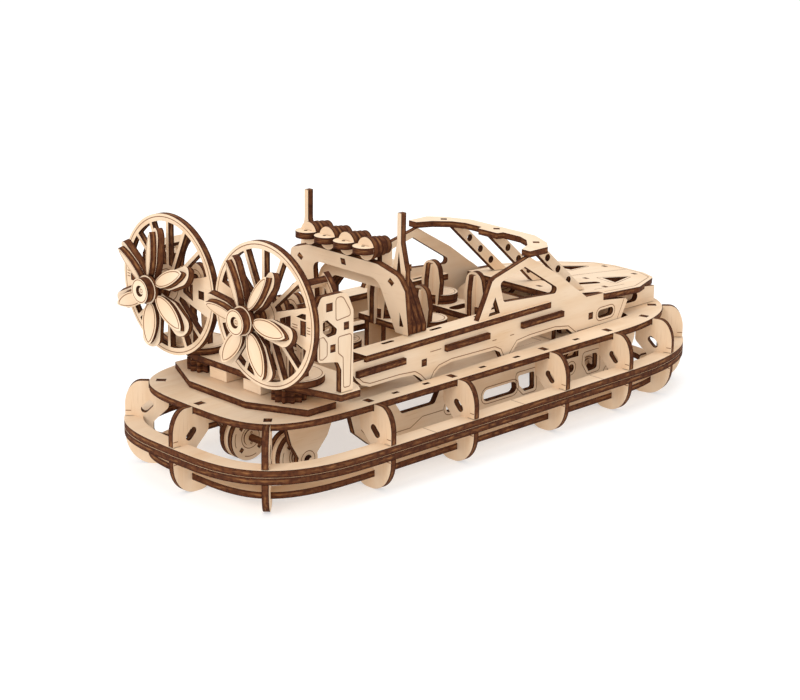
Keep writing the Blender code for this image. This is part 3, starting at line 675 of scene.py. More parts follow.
# %% Deck, rings and floor
def opening_outline(margin=0.0):
    """Well in the deck, or the floor below it with a margin inside."""
    return both_halves([(258 - margin, 30), (255 - margin, 37.6 - margin), (250, 38.3 - margin),
                        (104, 44.3 - margin), (52, 44.3 - margin), (44, 36), (20 + margin, 34)])


TAB_SLOT = box(RIB_TAB[0] - GAP, -SHEET / 2 - GAP, RIB_TAB[1] + GAP, SHEET / 2 + GAP)
deck_holes = [turned(TAB_SLOT, x, y, heading) for x, y, heading in stations]
for side in (1, -1):
    deck_holes += [box(x - 2, side * 48 - 1, x + 2, side * 48 + 1) for x in (76, 96, 134, 158, 202)]
deck = Ply("deck_sheet")
deck.sheet(skirt(DECK_INSET), flat(-SHEET), [opening_outline(), *deck_holes])
deck.done("hull", "deck")


def ring(name, inset, width, top, node, joints=()):
    """Skirt ring; the joints are the lines where its segments meet."""
    marks = []
    for x in joints:
        for side in (1, -1):
            marks.append([(x, side * (HALF_BEAM - inset)), (x, side * (HALF_BEAM - inset - width))])
    piece = Ply(name)
    piece.sheet(skirt(inset), flat(top - SHEET), [skirt(inset + width)], marks=marks, layers=1)
    piece.done("hull", node)


ring("upper_ring", 0, 8.9, RING_TOP, "mid_ring_upper", (86, 146, 204))
ring("lower_ring", 0, 8.9, RING_TOP - SHEET - GAP, "mid_ring_lower", (60, 160, 190))
ring("foot_ring", 10.9, 8.0, BOTTOM_RING_TOP, "bottom_ring", (100, 150))

FLOOR_TOP = -SHEET - GAP
FLOOR_BOTTOM = FLOOR_TOP - SHEET
floor_lines = [box(96, -12, 122, 12) + [(96, -12)], box(176, -30, 196, 30) + [(176, -30)]]
floor_plate = Ply("floor_plate")
floor_plate.sheet(opening_outline(0.6), flat(FLOOR_BOTTOM), [slot(70, 0, 14, 5), slot(232, 0, 14, 5)],
                  marks=floor_lines, sides=(1,))
floor_plate.done("hull", "hull_floor")

# %% [markdown]
# ## Ribs
# One rib is drawn in its own plane, x outwards from the skirt curve. It bulges above the rings
# and below them, steps back at the foot ring, and has a slanted oval hole. A mesh of bare
# points carries the stations and headings, and the node tree stands a rib on each.

# %% Ribs round the skirt
def rib_outline():
    """Rib in its own plane: outward distance from the skirt curve, and height."""
    ring_bottom = RING_TOP - 2 * SHEET - GAP
    foot_top = BOTTOM_RING_TOP + GAP
    foot_bottom = BOTTOM_RING_TOP - SHEET - GAP
    outline = [(-11.7, 0), *arc(-8, -12, 7.6, 90, 0, 12, 12 / 7.6)]
    outline += [(-0.4, RING_TOP + GAP), (RIB_LAP, RING_TOP + GAP)]
    outline += [(RIB_LAP, ring_bottom - GAP), (-0.4, ring_bottom - GAP)]
    outline += arc(-13, -26, 12.6, 0, -90, 16, 14.7 / 12.6)
    outline += arc(-16, foot_bottom, 6.5, -90, -180, 8, (DECK_HEIGHT + foot_bottom) / 6.5)
    outline += [(RIB_FOOT_LAP, foot_bottom), (RIB_FOOT_LAP, foot_top), (-22.5, foot_top)]
    outline += [(-22.5, -28, 2), (-13.5, -25.5, 2), (-13.5, -20, 3), (-20.9, -12.9, 3)]
    outline += [(-20.9, FLOOR_TOP), (RIB_TAB[0], FLOOR_TOP), (RIB_TAB[0], 0), (RIB_TAB[1], 0),
                (RIB_TAB[1], FLOOR_TOP), (-11.7, FLOOR_TOP)]
    return rounded(outline, 5)


rib_marks = [[(-0.6, -14.6), (-3.2, -14.6)], [(-0.6, -25.4), (-3.2, -25.4)]]
rib = Ply("rib_pattern")
rib.sheet(rib_outline(), spin(90, "X"), [slot(-10.8, -12.6, 7, 3.6, -45)], marks=rib_marks, grain=90)
rib_pattern = rib.build()

station_mesh = bpy.data.meshes.new("stations")
station_mesh.from_pydata([((x - MIDDLE) * MM, y * MM, DECK_HEIGHT * MM) for x, y, _ in stations], [], [])
headings = station_mesh.attributes.new("heading", "FLOAT", "POINT")
headings.data.foreach_set("value", [radians(heading) for _, _, heading in stations])
station_points = bpy.data.objects.new("stations", station_mesh)
bpy.context.scene.collection.objects.link(station_points)
ribs = grown("skirt_ribs", station_points, STATIONS, {"Piece": rib_pattern})
bpy.data.objects.remove(rib_pattern, do_unlink=True)
settle(ribs, "hull", *[f"rib_{number:02d}" for number in range(1, len(stations) + 1)])

# %% [markdown]
# ## Below the deck
# Two long plates stand on edge under the floor. Their windows are outlined by an engraved line,
# and through them the far side shows. The hidden wheels are laminated discs on dowels.

# %% Hull sides and rear bracket
HULL_SIDE_Y = 34.4
HULL_SIDE_TOP = FLOOR_BOTTOM - GAP
HULL_SIDE_BOTTOM = -28.0
AXLE_HEIGHT = -29.2
REAR_AXLE_X = 40.0
FRONT_AXLE_X = 243.0
DOWEL = 1.7
DOWEL_HOLE = 2.3


def closed(path):
    """Path with its first point again at the end."""
    return path + path[:1]


side_windows = [
    rounded([(87, -10), (118, -10), (114, -17, 2), (92, -17, 2)]),
    slot(160, -21.2, 24, 6),
    rounded([(172.9, -15.9, 1), (184.7, -15.9, 1), (185.2, -24.9, 1), (178, -24.9), (174, -21)]),
    box(206, -15, 218.5, -12),
    circle(213.1, -20.5, 2.2, 20),
    rounded([(223.7, -16, 1), (233.5, -16, 2), (233.5, -24.5, 2), (227, -25), (223.7, -20)]),
    slot(130, -21.2, 16, 5),
    circle(FRONT_AXLE_X, AXLE_HEIGHT, DOWEL_HOLE, 20)]
side_marks = [
    closed(slot(160, -21.2, 27, 8.6)),
    closed(rounded([(171, -14, 2), (186.8, -14, 2), (187, -26.6, 2), (177, -26.6, 2), (172, -22, 1)])),
    closed(rounded([(222, -14, 2), (235.4, -14, 2), (236, -26.3, 2), (226, -26.5, 2), (221.5, -20, 1)])),
    closed(circle(213.1, -20.5, 3.6, 24)),
    closed(slot(130, -21.2, 19, 7.6)),
    closed(circle(FRONT_AXLE_X, AXLE_HEIGHT, 4.6, 24)),
    [(66, -19), (72, -25.6), (98, -25.6), (106, -21.6), (120, -21.6)]]
side_plan = [(58, HULL_SIDE_TOP), (62, -20), (72, HULL_SIDE_BOTTOM), *arc(FRONT_AXLE_X, AXLE_HEIGHT, 6.5, 170, 370, 18),
             (255, -22), (257, HULL_SIDE_TOP)]
for name, side in (("port", 1), ("starboard", -1)):
    piece = Ply(f"hull_plate_{name}")
    piece.sheet(side_plan, along(side * HULL_SIDE_Y), side_windows, marks=side_marks)
    piece.done("hull", f"hull_side_{name}")

BRACKET_Y = 26.6
cheek = [(26, HULL_SIDE_TOP), (58, HULL_SIDE_TOP), (52, -20), *arc(REAR_AXLE_X, AXLE_HEIGHT, 6, 20, -200, 18), (30, -20)]
bracket = Ply("axle_bracket")
bracket.sheet(box(28, -BRACKET_Y, 56, BRACKET_Y), flat(HULL_SIDE_TOP - SHEET), [slot(42, 0, 20, 8, 90)])
for side in (1, -1):
    bracket.sheet(cheek, along(side * BRACKET_Y), [circle(REAR_AXLE_X, AXLE_HEIGHT, DOWEL_HOLE, 20)],
                  marks=[closed(circle(REAR_AXLE_X, AXLE_HEIGHT, 4.2, 24))])
bracket.done("hull", "rear_bracket")

# %% Wheels
WHEEL_RADIUS = 11.3
WHEEL_Y = 17.0
WHEEL_WIDTH = 9.0


def wheel_pair(name, x, axle_half, node):
    """Two laminated wheels on a dowel; each face has slots, a hub disc and an engraved ring."""
    place = at(x, 0, AXLE_HEIGHT) @ spin(90, "X")
    piece = Ply(name)
    piece.disc(DOWEL, place, 2 * axle_half, steps=20)
    for side in (1, -1):
        for offset in (-1, 1):
            z = side * WHEEL_Y + offset * (WHEEL_WIDTH - SHEET) / 2
            tabs = [turned(box(6.6, -1.1, 8.8, 1.1), 0, 0, angle) for angle in (45, 135, 225, 315)]
            arcs = [arc(0, 0, 9.4, angle - 22, angle + 22, 8) for angle in (0, 90, 180, 270)]
            piece.disc(WHEEL_RADIUS, moved(place, z=z), tabs=tabs, marks=[*arcs, closed(circle(0, 0, 5.4, 30))])
            piece.disc(4.2, moved(place, z=z + offset * 1.9), 0.8, tabs=[box(-1.0, -1.0, 1.0, 1.0)], steps=28,
                       marks=[closed(circle(0, y, 0.5, 10)) for y in (2.6, -2.6)])
        piece.disc(WHEEL_RADIUS - 0.8, moved(place, z=side * WHEEL_Y), WHEEL_WIDTH - 2 * SHEET, wall_kind=FACE)
    piece.done(node, node)


wheel_pair("wheels_fore", FRONT_AXLE_X, 38.5, "front_wheels")
wheel_pair("wheels_aft", REAR_AXLE_X, 30.5, "rear_wheels")

# %% [markdown]
# ## Stern platform
# Two plates with chamfered corners carry the fans, spaced by blocks. Between them lie gears cut
# from thick ply, whose round teeth show all round the platform as dark knobs.

# %% Platform plates, blocks and gears
LOWER_PLATE = GAP
UPPER_PLATE = 10.0
GEAR_X = 27.0
GEAR_Y = 30.0
GEAR_RADIUS = 8.2
lower_plan = both_halves([(45, 36), (40, 47), (23, 47), (10, 20)])
upper_plan = both_halves([(50, 38), (43.3, 57.7), (40, 62.8), (28.4, 62.8), (18.5, 28)])
shaft_holes = [circle(GEAR_X, side * GEAR_Y, DOWEL_HOLE, 20) for side in (1, -1)]
plate = Ply("platform_under")
plate.sheet(lower_plan, flat(LOWER_PLATE), [*shaft_holes, slot(38, 0, 20, 4, 90)], grain=90)
plate.done("hull", "platform_lower")
plate = Ply("platform_over")
plate.sheet(upper_plan, flat(UPPER_PLATE), [*shaft_holes, slot(40, 0, 24, 4, 90)], grain=90,
            marks=[closed(circle(GEAR_X, side * GEAR_Y, 5, 30)) for side in (1, -1)])
plate.done("hull", "platform_upper")

between = UPPER_PLATE - LOWER_PLATE - SHEET - 2 * GAP
middle_height = LOWER_PLATE + SHEET + GAP + between / 2
for name, side in (("port", 1), ("starboard", -1)):
    piece = Ply(f"spacer_{name}")
    piece.sheet(box(20.5, 6, 39.5, 18) if side > 0 else box(20.5, -18, 39.5, -6),
                at(0, 0, middle_height), thickness=between, wall_kind=FACE)
    piece.sheet(box(39, 9, 43, 37) if side > 0 else box(39, -37, 43, -9), at(0, 0, middle_height),
                thickness=between, layers=2)
    piece.done("hull", f"platform_block_{name}")


def gear_outline(radius, teeth, depth, steps=10):
    """Gear with round teeth."""
    count = teeth * steps
    turns = [2 * pi * i / count for i in range(count)]
    reach = [radius - depth / 2 + depth / 2 * cos(teeth * turn) for turn in turns]
    return [(r * cos(t), r * sin(t)) for r, t in zip(reach, turns)]


for name, side in (("port", 1), ("starboard", -1)):
    piece = Ply(f"gear_wheel_{name}")
    piece.sheet(gear_outline(GEAR_RADIUS, 12, 1.8), at(GEAR_X, side * GEAR_Y, middle_height), thickness=between, layers=2)
    piece.disc(DOWEL, at(GEAR_X, side * GEAR_Y, UPPER_PLATE / 2 + 2), UPPER_PLATE + SHEET - 2 * GAP, steps=20)
    piece.done(f"gear_{name}", f"gear_{name}")

# %% [markdown]
# ## Fan guards
# Each guard is a spoked wheel cut from one sheet: a rim, thin spokes, and a broad sector on
# either side. The drawing turns each gap into a hole with a curved outer side. The laser also
# leaves a ring on the rim and a few dashes on the broad sector.

# %% Fan guards
FAN_Y = 33.4
FAN_HEIGHT = 46.6
FAN_RADIUS = 33.0
FAN_RIM = 3.4
FAN_HUB = 9.5
SPOKE_HALF = 0.9
THIN_SPOKES = 5
BROAD_SPOKE = 17.0
RING_X = 10.8
NACELLE_Y = 59.5
SLOT_HALF = SHEET / 2 + GAP


def fan_ring_holes(side):
    """Gaps between the spokes, and the broad sectors' windows."""
    outer = FAN_RADIUS - FAN_RIM
    step = (180 - 2 * BROAD_SPOKE) / (THIN_SPOKES + 1)
    trim_out = degrees(SPOKE_HALF / outer)
    trim_in = degrees(SPOKE_HALF / FAN_HUB)
    holes = []
    for half in (0, 180):
        for i in range(THIN_SPOKES + 1):
            start = half + BROAD_SPOKE + i * step
            rim = arc(0, 0, outer, start + trim_out, start + step - trim_out, 10)
            root = arc(0, 0, FAN_HUB, start + step - trim_in, start + trim_in, 5)
            holes.append(rim + root)
    holes.append([(11, -1.2), (18, -4), (18, 4), (11, 1.2)])
    holes.append([(-11, -1.2), (-18, -4), (-18, 4), (-11, 1.2)])
    holes.append(box(-26, -2, -22, 2))
    holes.append([(21.5, 4.3), (27.6, 4.0), (27.9, 6.6), (25.2, 6.4)])
    slot_centre = NACELLE_Y - FAN_Y
    holes.append(box(slot_centre - SLOT_HALF, -3.3, slot_centre + SLOT_HALF, 3.3))
    holes.append(circle(0, 0, DOWEL_HOLE, 20))
    return [mirrored(hole, side) for hole in holes]


for name, side in (("port", 1), ("starboard", -1)):
    dashes = [[(28.5 * side, y), (30.6 * side, y)] for y in (0.9, -0.4, -1.7)]
    dashes += [[(19.0 * side, y), (22.4 * side, y)] for y in (0.6, -0.6)]
    marks = [closed(circle(0, 0, FAN_RADIUS - 1.4, 72)), closed(circle(0, 0, 7.4, 36)), *dashes]
    piece = Ply(f"fan_guard_{name}")
    piece.sheet(circle(0, 0, FAN_RADIUS, 96), across(RING_X, side * FAN_Y, FAN_HEIGHT), fan_ring_holes(side),
                marks=marks)
    piece.done("hull", f"fan_ring_{name}")

# %% [markdown]
# ## Propellers
# One blade is a laminate: a blunt sheet behind and a pointed leaf in front, with a line engraved
# beside its edge. It is drawn once, lying along X and pitched about it, and the round array
# makes six of it.

# %% Propeller blades and hubs
BLADE_X = 1.6
BLADE_COUNT = 6
BLADE_PITCH = -22.0
BLADE_START = {"port": 36.0, "starboard": 7.0}
BLADE_ROOT = 4.5
BLADE_TIP = 28.5
BLADE_WIDTH = 9.0
LEAF_WIDTH = 7.4
CAP_X = -3.8
SHAFT_END_X = 31.0
SHAFT_PROUD = 2.4


def blade_outline():
    """Blade with a narrow root, parallel sides and a round tip."""
    half = BLADE_WIDTH / 2
    edge_line = [(BLADE_ROOT, 1.7), (BLADE_ROOT + 3, 2.2), (BLADE_ROOT + 9, half)]
    tip = arc(BLADE_TIP - half, 0, half, -90, 90, 14)
    return [(x, -y) for x, y in edge_line] + tip + edge_line[::-1]


def leaf_outline(shrink=0.0, steps=16):
    """Pointed leaf that lies on the blade, or a line inside it."""
    root, tip = BLADE_ROOT + 1 + shrink, BLADE_TIP - 1.5 - 2 * shrink
    width = LEAF_WIDTH / 2 - shrink
    upper = []
    for i in range(steps + 1):
        t = i / steps
        upper.append((root + (tip - root) * t, width * sin(pi * t ** 0.9) ** 0.62))
    return upper + [(x, -y) for x, y in reversed(upper[1:-1])]


for name, side in (("port", 1), ("starboard", -1)):
    body = f"propeller_{name}"
    axis = across(BLADE_X, side * FAN_Y, FAN_HEIGHT)
    pitched = spin(BLADE_PITCH, "X")
    blade = Ply("blade_pattern")
    blade.sheet(blade_outline(), moved(pitched, z=0.6), layers=1)
    blade.sheet(leaf_outline(), moved(pitched, z=-2.4), thickness=3.0, marks=[closed(leaf_outline(0.75))], sides=(-1,))
    blades = grown(f"blades_{name}", blade.build(), ROUND_ARRAY,
                   {"Count": BLADE_COUNT, "Start": radians(BLADE_START[name])}, axis)
    settle(blades, body)
    cap = across(CAP_X, side * FAN_Y, FAN_HEIGHT)
    hub = Ply(f"hub_{name}")
    hub.disc(5.6, axis, 9.6, steps=36, layers=3, marks=[closed(circle(0, 0, 5.1, 32))])
    hub.disc(6.6, moved(cap, z=1.4), 1.6)
    hub.disc(5.9, moved(cap, z=-1.2), 4.4, marks=[closed(circle(0, 0, 5.2, 36))], holes=[circle(0, 0, 2.6, 24)])
    length = SHAFT_END_X - CAP_X + SHAFT_PROUD
    hub.disc(DOWEL, moved(cap, z=length / 2 - SHAFT_PROUD), length, steps=20,
             marks=[closed(turned_box(0, 0, 1.4, 1.4, 0))], sides=(-1,))
    hub.done(body, body)

# %% [markdown]
# ## What carries the fans
# A turntable disc with two bearing uprights holds each shaft. Outboard stands a cowling plate
# with engraved panels, and a hoop reaches forward from the guard on radial bars.

# %% Fan mounts, cowling plates and hoops
MOUNT_X = (18.5, 27.0)
TURNTABLE_X = 26.75
TURNTABLE_RADIUS = 14.0
HOOP_X = 32.6
HOOP_INNER = 19.6
HOOP_OUTER = 23.7
HOOP_BARS = (44.0, 20.0, -24.0)
mount_foot = UPPER_PLATE + SHEET + GAP
upright = [(-8, mount_foot + 1), (8, mount_foot + 1), (8, 30), (6, 34), (6, 48), *arc(0, 48, 6, 10, 170, 14),
           (-6, 48), (-6, 34), (-8, 30)]
upright_window = rounded([(-4, 20, 1), (4, 20, 1), (3, 36, 1), (-3, 36, 1)])
upright_marks = [closed(circle(0, FAN_HEIGHT, 4.2, 28)), [(-6.4, 18), (-6.4, 28)], [(6.4, 18), (6.4, 28)]]
for name, side in (("port", 1), ("starboard", -1)):
    y = side * FAN_Y
    piece = Ply(f"fan_bearing_{name}")
    piece.disc(TURNTABLE_RADIUS, at(TURNTABLE_X, y, mount_foot + SHEET / 2), steps=48,
               marks=[closed(circle(0, 0, TURNTABLE_RADIUS - 1.2, 48))])
    for x in MOUNT_X:
        piece.sheet(upright, across(x, y), [circle(0, FAN_HEIGHT, DOWEL_HOLE, 20), upright_window],
                    marks=upright_marks, grain=90)
    piece.sheet(box(MOUNT_X[0], 38, MOUNT_X[1], 41), along(y))
    piece.done("hull", f"fan_mount_{name}")

tab_end = RING_X - SHEET / 2
cowling = rounded([(16, 30, 2), (28, 28, 2), (30, 24), (30, mount_foot), (37, mount_foot), (37, 50), (33, 59, 5),
                   (18, 59, 2), (16, 55), (16, 49.6), (tab_end, 49.6), (tab_end, 43.6), (16, 43.6)])
cowling_window = rounded([(19, 48.2), (21.6, 48.2), (27.3, 43.2, 1), (26.8, 40.8, 1), (22, 40.4), (19, 43)])
cowling_tabs = [box(20.9, 51.8, 24.7, 55.6), box(31.3, 41.8, 34.4, 45.4), box(23.4, 33.0, 26.5, 36.6)]
cowling_marks = [
    closed(rounded([(26.7, 46.9, 1), (35.2, 47.9, 1), (34.9, 50.5, 2), (30.6, 57.3, 3), (26.5, 57.3, 1.6)])),
    closed(rounded([(31.4, 15.5, 1), (35.3, 15.5, 1), (36, 39.6, 1.5), (28, 39.4, 1.2), (28.2, 32, 1), (31, 29.6, 1)])),
    closed(rounded([(17.2, 31.2, 0.6), (19, 30.8, 1), (21.6, 32, 1.2), (21.6, 38, 1), (19.6, 40.8, 1), (17.2, 40.9)]))]
for name, side in (("port", 1), ("starboard", -1)):
    plate = Ply(f"cowling_{name}")
    plate.sheet(cowling, along(side * NACELLE_Y), [cowling_window], marks=cowling_marks, grain=90, tabs=cowling_tabs)
    plate.done("hull", f"nacelle_plate_{name}")
    hoop = arc(0, 0, HOOP_OUTER, -35, 52, 28) + arc(0, 0, HOOP_INNER, 52, -35, 24)
    hoop_mark = arc(0, 0, HOOP_OUTER - 1.2, -33, 50, 28)
    place = across(HOOP_X, side * FAN_Y, FAN_HEIGHT)
    piece = Ply(f"cowl_hoop_{name}")
    piece.sheet(mirrored(hoop, side), place, marks=[mirrored(hoop_mark, side)])
    bar_length = HOOP_X - RING_X - SHEET / 2 - GAP
    reach = (HOOP_INNER + HOOP_OUTER) / 2 * side
    for angle in HOOP_BARS:
        bar = place @ spin(angle * side, "Z") @ Matrix.Translation((reach * MM, 0, -bar_length / 2 * MM))
        bar_face = bar @ spin(90, "X")
        piece.sheet(box(-1.8, -bar_length / 2, 1.8, bar_length / 2), bar_face)
    piece.done("hull", f"nacelle_hoop_{name}")

# %% [markdown]
# ## Side panels
# The rails are sheets seen edge-on, which is why they look dark. A shelf inside each panel
# carries the arches.

# %% Side panels
PANEL_START = 52.0
PANEL_Y = 42.06
PANEL_LEAN = 0.03
SHELF_TOP = 20.3
RAIL_SPANS = ((2.7, 34.0), (61.8, 92.4), (116.7, 148.0))
RAIL_HEIGHT = 12.2
RAIL_OUT = 2.4


def panel_frame(side):
    """Plane of a side panel: it runs in slightly towards the bow."""
    y = PANEL_Y - PANEL_LEAN * (PANEL_START - 60)
    return along(side * y, PANEL_START, -degrees(atan2(PANEL_LEAN, 1)) * side)


panel_foot = [(3.4, 9.2), (6.6, 6.3), (11.8, 4.4), (31.5, 4.3, 3), (41.5, 3.5, 3), (45, 1.2), (49.9, -3.2),
              (52.7, -3.2), (55.9, 1.3), (58.6, 3.1), (67, 4.3), (97.8, 3.6, 3), (101.5, 1.8), (104.5, -3.2),
              (108.5, -3.2), (111.2, -0.3), (114.8, 3.6), (123.8, 4.3), (143, 4.4, 3), (153.3, 2.8),
              (159.1, -1.5), (161, -3.2), (195, -3.2), (201.7, 8.6)]
panel_top = [(199.9, 10.0), (181.5, 12.4), (181.3, 16.3), (167.5, 16.8), (161.6, 21.1), (159.1, 22.6),
             (145.2, 32.5), (129.4, 41.5), (121.9, 45.9), (96.9, 39.6, 2), (94.8, 38.4), (90.8, 30.2), (84.6, 18.4)]
panel_plan = rounded([(0.1, 18.2), (-1.1, 15.4), (0.8, 12.6), *panel_foot, *panel_top])
window = rounded([(118.7, 41.5, 1), (100.3, 36.7, 2), (103.5, 26.5, 2), (144.5, 23.3, 2), (143.2, 26.7, 2)])
panel_holes = [window, [(97.3, 30.2), (101, 21.6), (92.6, 21.4)], slot(183.7, 5.4, 12.8, 4.4)]
panel_tabs = [box(46.2, 6.2, 49.8, 9.8), box(169.8, 4.2, 173.4, 7.8)]
foot_line = inset_path(rounded(panel_foot)[:-1], 1.6, closed=False)
bow_line = inset_path([(161, -3.2), (195, -3.2), (201.7, 8.6)], 3.2, closed=False)
panel_marks = [foot_line, bow_line, [(52, 12.4), (59.6, 12.4)], closed(slot(183.7, 5.4, 15.4, 7.0)),
               [(96, 8.6), (99, 8.6)], [(109, 8.6), (112, 8.6)]]
shelf = box(8, -3, 138, 8)
shelf_slots = [slot(x, drop, 8, 2) for x, drop in ((30, 5), (62, 4.6), (94, 5.2), (120, 4.8))]
for name, side in (("port", 1), ("starboard", -1)):
    place = panel_frame(side)
    piece = Ply(f"cabin_side_{name}")
    piece.sheet(panel_plan, place, panel_holes, marks=panel_marks, tabs=panel_tabs)
    for start, end in RAIL_SPANS:
        rail = moved(place, (start + end) / 2, RAIL_HEIGHT, -side * RAIL_OUT) @ spin(90, "X")
        piece.sheet(box(-(end - start) / 2, -1.1, (end - start) / 2, 1.1), rail, thickness=3.0, kind=CUT)
    level = moved(place @ spin(-90, "X"), z=SHELF_TOP - SHEET / 2)
    piece.sheet(mirrored_y(shelf, -side), level, [mirrored_y(cut, -side) for cut in shelf_slots])
    piece.done("hull", f"side_panel_{name}")

# %% [markdown]
# ## Arches and lamps
# Two arches stand on the shelves, a single sheet and a hoop of three sheets glued together. The
# bar over them carries four lamps. A lamp is built like a puzzle: a flat disc in front, an
# upright disc slotted through it and a stack of discs behind. It is drawn once and the row tree
# sets out four.

# %% Arches
ARCH_X = 96.6
ARCH_LEAN = 14.5
HOOP_START = 98.5


def mirrored_corners(corners):
    """Corners with a radius, drawn to port, with their starboard copies."""
    return corners + [(-c[0], *c[1:]) for c in reversed(corners)]


arch_foot = SHELF_TOP + GAP
arch_place = at(ARCH_X, 0, arch_foot + SHEET / 2 * sin(radians(ARCH_LEAN))) @ spin(-ARCH_LEAN, "Y") @ spin(90, "Z")
arch_place = arch_place @ spin(90, "X")
arch_outer = mirrored_corners([(36.5, 0), (40, 24), (37, 31, 4), (24, 35, 4)])
arch_inner = mirrored_corners([(22.5, 27, 6), (28, 0)])
arch_slots = [[(side * 31.6, 4), (side * 34.4, 4.4), (side * 33.6, 12)] for side in (1, -1)]
arch_tabs = [box(-1.6, 29.4, 1.6, 32.8)] + [turned_box(side * 31.5, 27.2, 3.2, 3.2, 45) for side in (1, -1)]
arch = Ply("cabin_arch")
arch.sheet(rounded(arch_outer + arch_inner[2:] + arch_inner[:2]), arch_place, arch_slots, tabs=arch_tabs)
arch.done("hull", "lamp_arch")
hoop_thick = 3 * SHEET
hoop_outer = mirrored_corners([(35.4, arch_foot), (35.4, 24), (28, 40, 3), (20, 48, 2)])
hoop_inner = mirrored_corners([(18.5, 38.5, 4), (25.4, 30), (25.4, arch_foot)])
piece = Ply("cabin_hoop")
piece.sheet(rounded(hoop_outer + hoop_inner[3:] + hoop_inner[:3]), across(HOOP_START + hoop_thick / 2),
            thickness=hoop_thick, layers=3)
piece.done("hull", "rear_hoop")

# %% Lamps on their bar
LAMP_X = 84.7
LAMP_CENTRE = 61.4
LAMP_Y = (-19.8, -6.6, 6.6, 19.8)
LAMP_RADIUS = 5.5
LAMP_STACK = (5.5, 5.1, 4.7, 4.3)
LAMP_BAR = (91.7, 106.0)
LAMP_FRONT = -2.6
bar_foot = 48 + GAP
bar = Ply("lamp_bar")
bar.sheet(box(LAMP_BAR[0], -27, LAMP_BAR[1], 27), flat(bar_foot), [box(100, y - 2, 102, y + 2) for y in (-12.4, 0, 12.4)])
bar.done("hull", "lamp_bank")
lamp = Ply("lamp_pattern")
lamp.disc(LAMP_RADIUS, Matrix.Translation((LAMP_FRONT * MM, 0, 0)), steps=36, holes=[circle(-0.8, 0, 0.9, 14)],
          marks=[[(0.9, -2.4), (0.9, 2.4)]])
upright_disc = spin(90, "Z") @ spin(90, "X")
for number, radius in enumerate(LAMP_STACK):
    lamp.disc(radius, moved(upright_disc, z=SHEET * number), SHEET - 0.04 * (number > 0), steps=36)
stem_low = bar_foot + 1 - LAMP_CENTRE
lamp.sheet(box(LAMP_BAR[0] + 0.4 - LAMP_X, stem_low, LAMP_BAR[0] + 7 - LAMP_X, 0), spin(90, "X"))
lamps = grown("lamps", lamp.build(), ROW, {"Count": len(LAMP_Y), "Step": (0, (LAMP_Y[1] - LAMP_Y[0]) * MM, 0)},
              at(LAMP_X, LAMP_Y[0], LAMP_CENTRE))
settle(lamps, "hull")

# %% Aerials
ANTENNA_X = 94.2
ANTENNA_Y = 32.0
for name, side in (("port", 1), ("starboard", -1)):
    y = side * ANTENNA_Y
    mast = [(y + 1.25, 79), (y - 1.25, 79), (y - 1.25, 65), (y - 4.6, 52), (y - 4.6, 44.6), (y + 4, 44.6), (y + 4, 52),
            (y + 1.25, 65)]
    piece = Ply(f"aerial_{name}")
    piece.sheet(mast, across(ANTENNA_X), [[(y - 2.2, 47), (y + 1.6, 47), (y, 61)]], grain=90)
    piece.done("hull", f"antenna_{name}")

# %% [markdown]
# ## Inside the cabin
# Seats are sheets that cross: a round cushion of two discs, a bottle-shaped back, and legs. The
# dashboard stands ahead of them with the steering wheel, a disc with two slots and an engraved ring on a dowel.

# %% Seats
SEAT_Y = 15.0
for name, x in (("rear", 130.0), ("front", 168.0)):
    piece = Ply(f"bench_{name}")
    piece.sheet(box(x - 8, -26, x + 10, 26), flat(10), [slot(x, 0, 14, 6)], grain=90)
    foot = FLOOR_TOP + GAP
    for side in (1, -1):
        y = side * SEAT_Y
        piece.disc(8.5, at(x + 1, y, 10 + SHEET * 1.5), 2 * SHEET, steps=36, layers=2,
                   marks=[closed(circle(0, 0, 7.2, 32))])
        back = [(-5, 10.5), (5, 10.5), (6.5, 25), *arc(0, 30, 5.4, 10, 170, 16), (-6.5, 25)]
        piece.sheet(back, across(x - 5, y), grain=90)
        fin = [(x - 9.5, 10.5), (x + 1, 10.5), (x - 1, 22), (x - 3, 34), (x - 8.4, 34), (x - 9.5, 26)]
        piece.sheet(fin, along(y), grain=90)
        for offset in (-6, 6):
            piece.sheet(box(x - 7, foot, x + 8, 11), along(side * (SEAT_Y + offset)))
    piece.done("hull", f"seats_{name}")

# %% Dashboard and steering wheel
DASH_X = 202.0
dash = rounded([(-33, foot), (33, foot), (33, 10, 2), (28, 14, 3), (-28, 14, 3), (-33, 10, 2)])
piece = Ply("dash_panel")
piece.sheet(dash, across(DASH_X), [slot(0, 6, 20, 4), slot(20, 7, 8, 3), circle(-SEAT_Y, 8, DOWEL_HOLE, 20)],
            marks=[closed(circle(-24, 7, 2.6, 24)), closed(circle(24, 11.2, 1.6, 20)), closed(slot(0, 6, 23, 6.8))])
piece.done("hull", "dashboard")
wheel_place = across(DASH_X - 16, -SEAT_Y, 8)
piece = Ply("helm")
piece.disc(6.5, wheel_place, holes=[slot(0, 3.2, 7, 2), slot(0, -3.2, 7, 2)],
           marks=[closed(circle(0, 0, 5.7, 32))], steps=48)
piece.disc(DOWEL, moved(wheel_place, z=9), 18, steps=20)
piece.done("hull", "steering_wheel")

# %% [markdown]
# ## Roof bow, pillars and nose
# A flat bow bridges the two panels at the top of the windshield, with burnt tab ends as dark
# diamonds. Three raked pillars with round holes tie it to the sloping nose plate.

